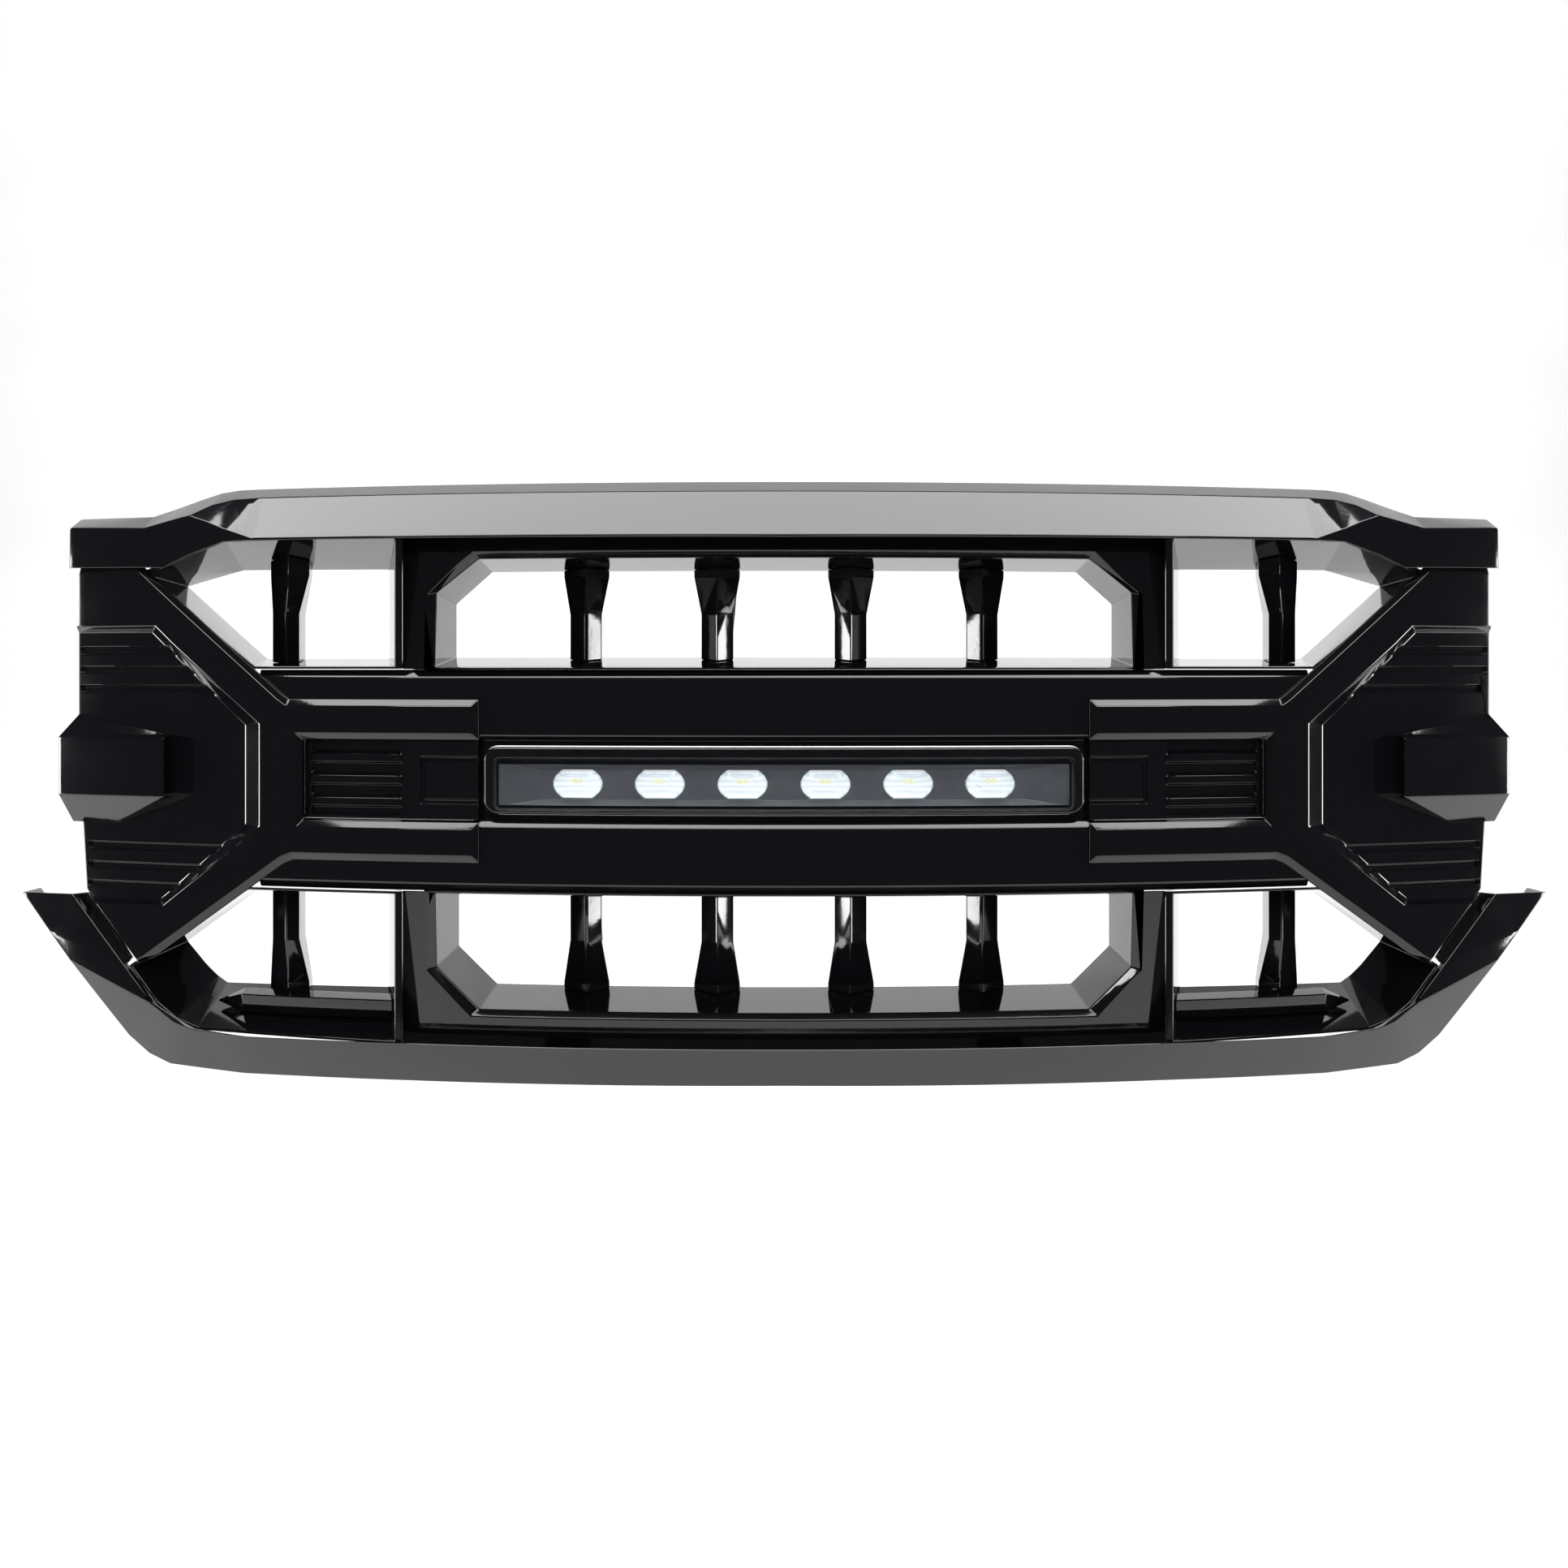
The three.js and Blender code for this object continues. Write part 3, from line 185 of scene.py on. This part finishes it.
def clear_plastic(name, tint, rough, ior):
    """Clear moulded plastic: nearly colourless, polished, thin enough to show what lies behind."""
    material, tree = blank_material(name)
    coords = object_coords(tree)
    roughness = mapped(tree, noise(tree, coords, 40.0), *rough)
    glass = add(
        tree,
        "ShaderNodeBsdfPrincipled",
        {"Roughness": roughness},
        values={"Base Color": linear(tint), "IOR": ior, "Transmission Weight": 1.0},
    )
    clear = add(tree, "ShaderNodeBsdfTransparent", values={"Color": linear(tint)})
    path = add(tree, "ShaderNodeLightPath")
    blend = add(tree, "ShaderNodeMixShader", {0: path.outputs["Is Shadow Ray"]})
    tree.links.new(glass.outputs[0], blend.inputs[1])
    tree.links.new(clear.outputs[0], blend.inputs[2])
    finish_material(tree, blend.outputs[0])
    return material


def package_ceramic():
    """White LED package: bright matt ceramic, with faint bands of painted light and shade in its colour
    that stand in for what the optic's ribs throw on it.
    """
    material, tree = blank_material("led_package_ceramic")
    coords = object_coords(tree)
    # Painted light and shade: wave bands lighten and darken the ceramic's colour where the optic's ribs
    # would throw light on it.
    painted_rib_light_bands = add(
        tree,
        "ShaderNodeTexWave",
        {"Vector": coords},
        values={"Scale": 60.0, "Distortion": 1.5, "Detail": 1.0},
        wave_type="BANDS",
        bands_direction="Z",
    ).outputs["Fac"]
    colour = mixed(tree, painted_rib_light_bands, "#e4e7ea", "#fffffc")
    roughness = mapped(tree, noise(tree, coords, 80.0), 0.35, 0.5)
    links = {"Base Color": colour, "Roughness": roughness}
    shader = add(tree, "ShaderNodeBsdfPrincipled", links, values={"IOR": 1.5, "Metallic": 0.0})
    finish_material(tree, shader.outputs[0])
    return material


def phosphor():
    """Silicone with yellow phosphor over the LED dies: pale yellow, slightly uneven."""
    material, tree = blank_material("led_phosphor_silicone")
    coords = object_coords(tree)
    colour = mixed(tree, mapped(tree, noise(tree, coords, 700.0), 0.0, 1.0), "#efe6a8", "#f8f2c6")
    roughness = mapped(tree, noise(tree, coords, 300.0), 0.25, 0.4)
    links = {"Base Color": colour, "Roughness": roughness}
    shader = add(tree, "ShaderNodeBsdfPrincipled", links, values={"IOR": 1.42, "Metallic": 0.0})
    finish_material(tree, shader.outputs[0])
    return material


def solder_mask():
    """Printed board: green lacquer over glass weave."""
    material, tree = blank_material("solder_mask")
    coords = object_coords(tree)
    colour = mixed(tree, mapped(tree, noise(tree, coords, 220.0), 0.0, 1.0), "#17452f", "#1f5a3c")
    roughness = mapped(tree, noise(tree, coords, 90.0), 0.3, 0.42)
    links = {"Base Color": colour, "Roughness": roughness}
    shader = add(tree, "ShaderNodeBsdfPrincipled", links, values={"IOR": 1.5, "Metallic": 0.0})
    finish_material(tree, shader.outputs[0])
    return material


GLOSS = gloss_abs()
SATIN = satin_nylon()
RUBBER = satin_nylon("epdm_rubber", "#101010", "#161616", (0.75, 0.9))
HOUSING = satin_nylon("light_housing_abs", "#0b0b0d", "#0f0f11", (0.1, 0.16))
REFLECTOR = satin_nylon("reflector_plate_abs", "#38383b", "#414145", (0.3, 0.38))
STEEL = plated_steel()
ALUMINIUM = extruded_aluminium()
LENS = clear_plastic("clear_polycarbonate", "#f2f5f7", (0.01, 0.03), 1.58)
OPTIC = clear_plastic("clear_acrylic", "#fbfcfd", (0.03, 0.06), 1.49)
BOARD = solder_mask()
CERAMIC = package_ceramic()
PHOSPHOR = phosphor()


# ---- shown mouldings made from the frame's own pieces ------------------------------------------
def shift_sweep(mesh, depth_of, sign):
    for vertex in mesh.verts:
        vertex.co.y += sign * depth_of(vertex.co.x)


def edge_turn(edge):
    return edge.calc_face_angle(0.0) if len(edge.link_faces) == 2 else 0.0


def flat_copy(node):
    """The CAD node's mesh, merged and laid flat."""
    mesh = bmesh.new()
    mesh.from_mesh(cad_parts[node].data)
    bmesh.ops.remove_doubles(mesh, verts=mesh.verts, dist=2e-6)
    shift_sweep(mesh, facet_depth, -1)
    bmesh.ops.dissolve_limit(
        mesh,
        angle_limit=math.radians(0.6),
        verts=mesh.verts,
        edges=mesh.edges,
        use_dissolve_boundaries=False,
    )
    return mesh


def soften(mesh, width, segments, least=14.0):
    """Rounds every edge that turns by more than the least angle, in degrees."""
    sharp = [e for e in mesh.edges if edge_turn(e) > math.radians(least)]
    bmesh.ops.bevel(
        mesh,
        geom=sharp,
        offset=width,
        offset_type="OFFSET",
        segments=segments,
        profile=0.5,
        affect="EDGES",
        clamp_overlap=False,
        miter_outer="SHARP",
    )


def keep_hard(mesh, least=24.0):
    """Splits the shading at edges that still turn sharply."""
    for edge in mesh.edges:
        edge.smooth = edge_turn(edge) < math.radians(least)


def bend_smooth(mesh):
    """Cuts the flat mesh into narrow strips and bends it to the true arc."""
    reach = max(abs(v.co.x) for v in mesh.verts)
    count = math.ceil(reach / SLICE)
    for i in range(-count, count + 1):
        geometry = [*mesh.verts, *mesh.edges, *mesh.faces]
        bmesh.ops.bisect_plane(
            mesh, geom=geometry, dist=1e-7, plane_co=(i * SLICE, 0, 0), plane_no=(1, 0, 0)
        )
    shift_sweep(mesh, arc_depth, 1)


def to_object(mesh, name, material):
    for face in mesh.faces:
        face.smooth = True
    bmesh.ops.recalc_face_normals(mesh, faces=mesh.faces)
    data = bpy.data.meshes.new(name)
    mesh.to_mesh(data)
    mesh.free()
    data.materials.append(material)
    made = bpy.data.objects.new(name, data)
    bpy.context.scene.collection.objects.link(made)
    return made


def weigh_normals(made):
    modifier = made.modifiers.new("weighted_normals", "WEIGHTED_NORMAL")
    modifier.mode = "FACE_AREA"
    modifier.weight = 100
    modifier.keep_sharp = True


def show(made, node=None):
    """Hangs a piece on the body, in place of a node of the frame where one is named."""
    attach(made, "root")
    if node:
        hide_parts(node)


def moulding(node, width=1.3 * MM, segments=3, material=GLOSS):
    mesh = flat_copy(node)
    soften(mesh, width, segments)
    keep_hard(mesh)
    bend_smooth(mesh)
    made = to_object(mesh, "shown_" + node, material)
    weigh_normals(made)
    show(made, node)


SIDES = ("left", "right")
BOTH_SIDES = ["side_wing", "end_block", "vent_insert", "side_duct_upper", "side_duct_lower"]
BOTH_SIDES += ["side_blade_upper", "side_blade_lower", "winglet"]
MOULDINGS = ["hood_trim", "centre_bar", "window_frame_upper", "window_frame_lower", "lower_valance"]
MOULDINGS += [f"{base}_{side}" for side in SIDES for base in BOTH_SIDES]
MOULDINGS += [f"{row}_blade_{i}" for row in ("upper", "lower") for i in range(1, 5)]

for name in MOULDINGS:
    moulding(name)

moulding("light_housing", 0.8 * MM, 2, HOUSING)
moulding("reflector_plate", 0.4 * MM, 2, REFLECTOR)
moulding("light_lens", 0.5 * MM, 2, LENS)
for i in range(1, 7):
    moulding(f"led_optic_{i}", 1.0 * MM, 3, OPTIC)

moulding("heat_sink", 0.25 * MM, 1, ALUMINIUM)
moulding("support_rail", 1.0 * MM, 2, SATIN)
for side in SIDES:
    moulding(f"light_bracket_{side}", 0.5 * MM, 2, STEEL)
moulding("centre_bracket", 0.6 * MM, 2, STEEL)


# ---- repeated parts, made by rule ---------------------------------------------------------------
def rule(name, *sizes):
    """A new geometry rule with points and named sizes as its inputs."""
    tree = bpy.data.node_groups.new(name, "GeometryNodeTree")
    tree.interface.new_socket("Points", in_out="INPUT", socket_type="NodeSocketGeometry")
    for label in sizes:
        tree.interface.new_socket(label, in_out="INPUT", socket_type="NodeSocketFloat")
    tree.interface.new_socket("Mesh", in_out="OUTPUT", socket_type="NodeSocketGeometry")
    return tree, add(tree, "NodeGroupInput").outputs


def joined(tree, *meshes):
    node = add(tree, "GeometryNodeJoinGeometry")
    for mesh in meshes:
        tree.links.new(mesh, node.inputs[0])
    return node.outputs[0]


def raised(tree, mesh, height):
    shift = add(tree, "ShaderNodeCombineXYZ", {"Z": height})
    links = {"Geometry": mesh, "Translation": shift.outputs[0]}
    return add(tree, "GeometryNodeTransform", links).outputs[0]


def times(tree, value, factor):
    return add(tree, "ShaderNodeMath", {0: value}, values={1: factor}, operation="MULTIPLY").outputs[0]


def laid_back(tree, mesh):
    """Turns a pattern that stands along Z so that it lies along Y."""
    values = {"Rotation": (math.radians(-90), 0, 0)}
    return add(tree, "GeometryNodeTransform", {"Geometry": mesh}, values=values).outputs[0]


def end_rule(tree, points, pattern, material):
    """Sets the pattern on every point along its own direction and size, and makes it one mesh."""
    aim, size = [
        add(tree, "GeometryNodeInputNamedAttribute", values={"Name": name}, data_type="FLOAT_VECTOR")
        for name in ("aim", "size")
    ]
    turn = add(
        tree,
        "FunctionNodeAlignRotationToVector",
        {"Vector": aim.outputs[0]},
        axis="Y",
        pivot_axis="Z",
    )
    links = {
        "Points": points,
        "Instance": pattern,
        "Rotation": turn.outputs[0],
        "Scale": size.outputs[0],
    }
    laid = add(tree, "GeometryNodeInstanceOnPoints", links)
    real = add(tree, "GeometryNodeRealizeInstances", {"Geometry": laid.outputs[0]})
    values = {"Material": material}
    finish = add(tree, "GeometryNodeSetMaterial", {"Geometry": real.outputs[0]}, values=values)
    add(tree, "NodeGroupOutput", {0: finish.outputs[0]})
    return tree


def grow_from(name, tree, spots, sizes):
    """Runs a rule on spots given as (place, direction, size), and keeps the result as a plain mesh."""
    seed = bpy.data.meshes.new(name + "_spots")
    seed.from_pydata([place for place, _, _ in spots], [], [])
    for label, column in (("aim", 1), ("size", 2)):
        attribute = seed.attributes.new(label, "FLOAT_VECTOR", "POINT")
        for i, spot in enumerate(spots):
            attribute.data[i].vector = spot[column]
    holder = bpy.data.objects.new(name + "_holder", seed)
    bpy.context.scene.collection.objects.link(holder)
    modifier = holder.modifiers.new("rule", "NODES")
    modifier.node_group = tree
    for item in tree.interface.items_tree:
        if item.name in sizes:
            modifier[item.identifier] = sizes[item.name]
    graph = bpy.context.evaluated_depsgraph_get()
    grown = bpy.data.meshes.new_from_object(
        holder.evaluated_get(graph), preserve_all_data_layers=True, depsgraph=graph
    )
    bpy.data.objects.remove(holder)
    mesh = bmesh.new()
    mesh.from_mesh(grown)
    for face in mesh.faces:
        face.smooth = True
    keep_hard(mesh, 30.0)
    mesh.to_mesh(grown)
    mesh.free()
    grown.name = name
    made = bpy.data.objects.new(name, grown)
    bpy.context.scene.collection.objects.link(made)
    return made


def backwards(x):
    """Direction square to the sweep, towards the vehicle."""
    lean = math.asin(x / SWEEP_RADIUS)
    return Vector((-math.sin(lean), math.cos(lean), 0))


WHOLE = (1, 1, 1)


# Hexagon flange screws: flange, head with a raised crown, and shank.
def screw_rule():
    tree, given = rule("hexagon_flange_screw", "Flange radius", "Head radius", "Head height", "Length")
    head_radius = given["Head radius"]
    flange = add(
        tree,
        "GeometryNodeMeshCone",
        {"Radius Bottom": given["Flange radius"], "Radius Top": times(tree, head_radius, 1.04)},
        values={"Vertices": 40, "Depth": 1.9 * MM},
    )
    head = add(
        tree,
        "GeometryNodeMeshCylinder",
        {"Radius": head_radius, "Depth": given["Head height"]},
        values={"Vertices": 6},
    )
    crown = add(
        tree,
        "GeometryNodeMeshCone",
        {
            "Radius Bottom": times(tree, head_radius, 0.86),
            "Radius Top": times(tree, head_radius, 0.78),
        },
        values={"Vertices": 40, "Depth": 0.5 * MM},
    )
    shank = add(
        tree,
        "GeometryNodeMeshCylinder",
        {"Radius": times(tree, head_radius, 0.5), "Depth": given["Length"]},
        values={"Vertices": 24},
    )
    screw = joined(
        tree,
        flange.outputs["Mesh"],
        raised(tree, head.outputs["Mesh"], times(tree, given["Head height"], 0.5)),
        raised(tree, crown.outputs["Mesh"], given["Head height"]),
        raised(tree, shank.outputs["Mesh"], times(tree, given["Length"], -0.5)),
    )
    return end_rule(tree, given["Points"], laid_back(tree, screw), STEEL)


def screw_spot(node, slope):
    """Seat and direction of a screw of the frame, from its own mesh."""
    points = [v.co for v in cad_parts[node].data.vertices]
    unique = {tuple(round(c, 5) for c in p) for p in points}
    middle = sum((Vector(p) for p in unique), Vector()) / len(unique)
    side = -1 if middle.x > 0 else 1
    direction = Vector((side * slope, 1, 0)).normalized()
    reach = max((p - middle).dot(direction) for p in points)
    return middle + direction * (reach - SEAT_TO_TOP), direction, WHOLE


SEAT_TO_TOP = 6 * MM
SCREW = screw_rule()
SCREW_SIZES = {
    "Flange radius": 7.5 * MM,
    "Head radius": 6.0 * MM,
    "Head height": 5.4 * MM,
    "Length": 9.0 * MM,
}
PAD_SLOPE = (facet_depth(0.7) - facet_depth(0.6)) / FACET
STRAP_SLOPE = (facet_depth(0.4) - facet_depth(0.3)) / FACET
for base, slope in (("rail_screw", 0.0), ("pad_screw", PAD_SLOPE), ("strap_screw", STRAP_SLOPE)):
    for side in SIDES:
        node = f"{base}_{side}"
        made = grow_from("shown_" + node, SCREW, [screw_spot(node, slope)], SCREW_SIZES)
        show(made, node)


# Round studs: the LED packages and dies, and the screw bosses.
def stud_rule(name, material):
    tree, given = rule(name, "Radius", "Thickness")
    stud = add(
        tree,
        "GeometryNodeMeshCylinder",
        {"Radius": given["Radius"], "Depth": given["Thickness"]},
        values={"Vertices": 48},
    )
    return end_rule(tree, given["Points"], laid_back(tree, stud.outputs["Mesh"]), material)


def studs(name, material, spots, radius, thickness):
    sizes = {"Radius": radius, "Thickness": thickness}
    show(grow_from(name, stud_rule(name + "_rule", material), spots, sizes))


# Each optic has a white package behind it, with two dies side by side.
OPTIC_PITCH = 87.8 * MM
OPTIC_HEIGHT = -115.5 * MM
PACKAGE_STRETCH = (1.52, 1, 0.94)
DIE_SPACING = 6.4 * MM

package_spots = []
die_spots = []
for i in range(6):
    x = (i - 2.5) * OPTIC_PITCH
    package_spots.append((swept(x, 30.5 * MM, OPTIC_HEIGHT), backwards(x), PACKAGE_STRETCH))
    for shift in (-DIE_SPACING / 2, DIE_SPACING / 2):
        die = swept(x + shift, 28.6 * MM, OPTIC_HEIGHT + 3 * MM)
        die_spots.append((die, backwards(x), WHOLE))
studs("led_packages", CERAMIC, package_spots, 15 * MM, 3 * MM)
studs("led_dies", PHOSPHOR, die_spots, 2.6 * MM, 1 * MM)


# Ribs, bosses and small screws on the backs of the wings.
WING_BACK = 17 * MM
RIB_THICKNESS = 1.8 * MM
RIB_DEPTH = 7 * MM
RIB_PITCH = 24 * MM
BOSS_HEIGHT = 9 * MM
BOSS_PLACES = [(0.785, 0.036), (0.785, -0.205), (0.705, -0.205), (0.633, -0.165), (0.609, -0.09)]


def rib_rule():
    tree, given = rule("moulded_rib", "Thickness", "Depth")
    links = {"X": given["Thickness"], "Y": given["Depth"]}
    size = add(tree, "ShaderNodeCombineXYZ", links, values={"Z": 1.0})
    rib = add(tree, "GeometryNodeMeshCube", {"Size": size.outputs[0]}).outputs["Mesh"]
    return end_rule(tree, given["Points"], rib, GLOSS)


def rib_spot(x, low, high):
    place = swept(x, WING_BACK + RIB_DEPTH / 2 - 0.6 * MM, (low + high) / 2)
    return place, backwards(x), (1, 1, high - low)


def rib_spots():
    """Upright ribs that follow the pan's lower diagonal and stay clear of the side pads."""
    spots = []
    for sign in (-1, 1):
        for i in range(8):
            x = 0.597 + RIB_PITCH * i
            rise = 0.083 * max(0.0, 0.693 - x) / 0.106
            high = -0.024 if x > 0.62 else -0.066
            spots.append(rib_spot(sign * x, -0.246 + rise, high))
        for i in range(3):
            spots.append(rib_spot(sign * (0.717 + RIB_PITCH * i), -0.013, 0.043))
    return spots


rib_sizes = {"Thickness": RIB_THICKNESS, "Depth": RIB_DEPTH}
show(grow_from("wing_ribs", rib_rule(), rib_spots(), rib_sizes))

boss_spots = []
small_screw_spots = []
for sign in (-1, 1):
    for x, height in BOSS_PLACES:
        direction = backwards(sign * x)
        middle = WING_BACK + BOSS_HEIGHT / 2 - 0.8 * MM
        boss_spots.append((swept(sign * x, middle, height), direction, WHOLE))
        seat = WING_BACK + BOSS_HEIGHT - 0.2 * MM
        small_screw_spots.append((swept(sign * x, seat, height), direction, WHOLE))
studs("wing_bosses", GLOSS, boss_spots, 6 * MM, BOSS_HEIGHT)

SMALL_SIZES = {
    "Flange radius": 5 * MM,
    "Head radius": 3.6 * MM,
    "Head height": 3.2 * MM,
    "Length": 7 * MM,
}
show(grow_from("wing_screws", SCREW, small_screw_spots, SMALL_SIZES))


# ---- pieces kept as the frame has them ----------------------------------------------------------
CARRIED = {"inlet_socket": SATIN, "circuit_board": BOARD, "lens_seal": RUBBER}
for side in SIDES:
    CARRIED["side_pad_" + side] = SATIN
    CARRIED["lower_pad_" + side] = SATIN
for node, material in CARRIED.items():
    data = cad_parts[node].data
    data.materials.clear()
    data.materials.append(material)


# ---- studio -----------------------------------------------------------------------------------
def studio_card():
    """Pale painted floor that curves up into a wall."""
    material, tree = blank_material("pale_studio_paint")
    coords = object_coords(tree)
    colour = mixed(tree, mapped(tree, noise(tree, coords, 3.0), 0.0, 1.0), "#f3f3f3", "#f7f7f7")
    shader = add(tree, "ShaderNodeBsdfPrincipled", {"Base Color": colour}, values={"Roughness": 0.9})
    finish_material(tree, shader.outputs[0])
    return material


def cove(front, back, floor, radius, top, half_width):
    profile = [(front, floor)]
    for i in range(17):
        turn = math.radians(90 * i / 16)
        profile.append((back - radius + radius * math.sin(turn), floor + radius * (1 - math.cos(turn))))
    profile.append((back, top))
    mesh = bmesh.new()
    rows = [[mesh.verts.new((x, y, z)) for y, z in profile] for x in (-half_width, half_width)]
    for i in range(len(profile) - 1):
        mesh.faces.new((rows[0][i], rows[1][i], rows[1][i + 1], rows[0][i + 1]))
    made = to_object(mesh, "studio_cove", studio_card())
    return made


def softbox(name, at, aim, size, power):
    light = bpy.data.lights.new(name, "AREA")
    light.shape = "RECTANGLE"
    light.size, light.size_y = size
    light.energy = power
    made = bpy.data.objects.new(name, light)
    made.location = at
    made.rotation_euler = (Vector(aim) - Vector(at)).to_track_quat("-Z", "Y").to_euler()
    bpy.context.scene.collection.objects.link(made)
    return made


cove(front=-3.2, back=4.2, floor=-1.15, radius=1.6, top=4.4, half_width=2.9)

# Overhead and side panels that the gloss shows as highlights.
softbox("overhead", (0, -0.15, 2.0), (0, 0, 0), (3.8, 1.3), 104)
for sign in (-1, 1):
    softbox("side_panel", (sign * 3.5, -0.45, -0.35), (0, -0.45, -0.35), (0.8, 1.4), 64)
edge_strip = softbox("edge_strip", (0, -1.5, 1.5), (0, 0, -0.2), (3.6, 0.4), 60)
edge_strip.visible_diffuse = False

# Lights for the card and for matt surfaces, which the gloss doesn't show.
for name, at, aim, size, power in (
    ("wall_wash", (0, 1.5, 3.6), (0, 4.2, 0.2), (5.6, 1.0), 172),
    ("floor_wash", (0, 1.1, 1.9), (0, 2.0, -1.15), (5.2, 0.8), 12),
    ("front_fill", (0, -2.6, 0.9), (0, 0, -0.1), (3.0, 1.0), 50),
):
    softbox(name, at, aim, size, power).visible_glossy = False

world = bpy.data.worlds.new("studio")
bpy.context.scene.world = world
world.use_nodes = True
world.node_tree.nodes.clear()
sky = add(world.node_tree, "ShaderNodeBackground", values={"Color": linear("#3c3d41"), "Strength": 1.0})
add(world.node_tree, "ShaderNodeOutputWorld", {"Surface": sky.outputs[0]})

CAMERA_AWAY = 2.281
camera_data = bpy.data.cameras.new("camera")
camera_data.lens = 50.0
camera_data.sensor_width = 36.0
camera_data.shift_y = -0.0694
camera = bpy.data.objects.new("camera", camera_data)
camera.location = (0.0, -CAMERA_AWAY - REAR_PLANE, -BRACKET_HEIGHT)
camera.rotation_euler = (math.radians(90), 0, 0)
bpy.context.scene.collection.objects.link(camera)
bpy.context.scene.camera = camera
bpy.context.scene.view_settings.view_transform = "Standard"
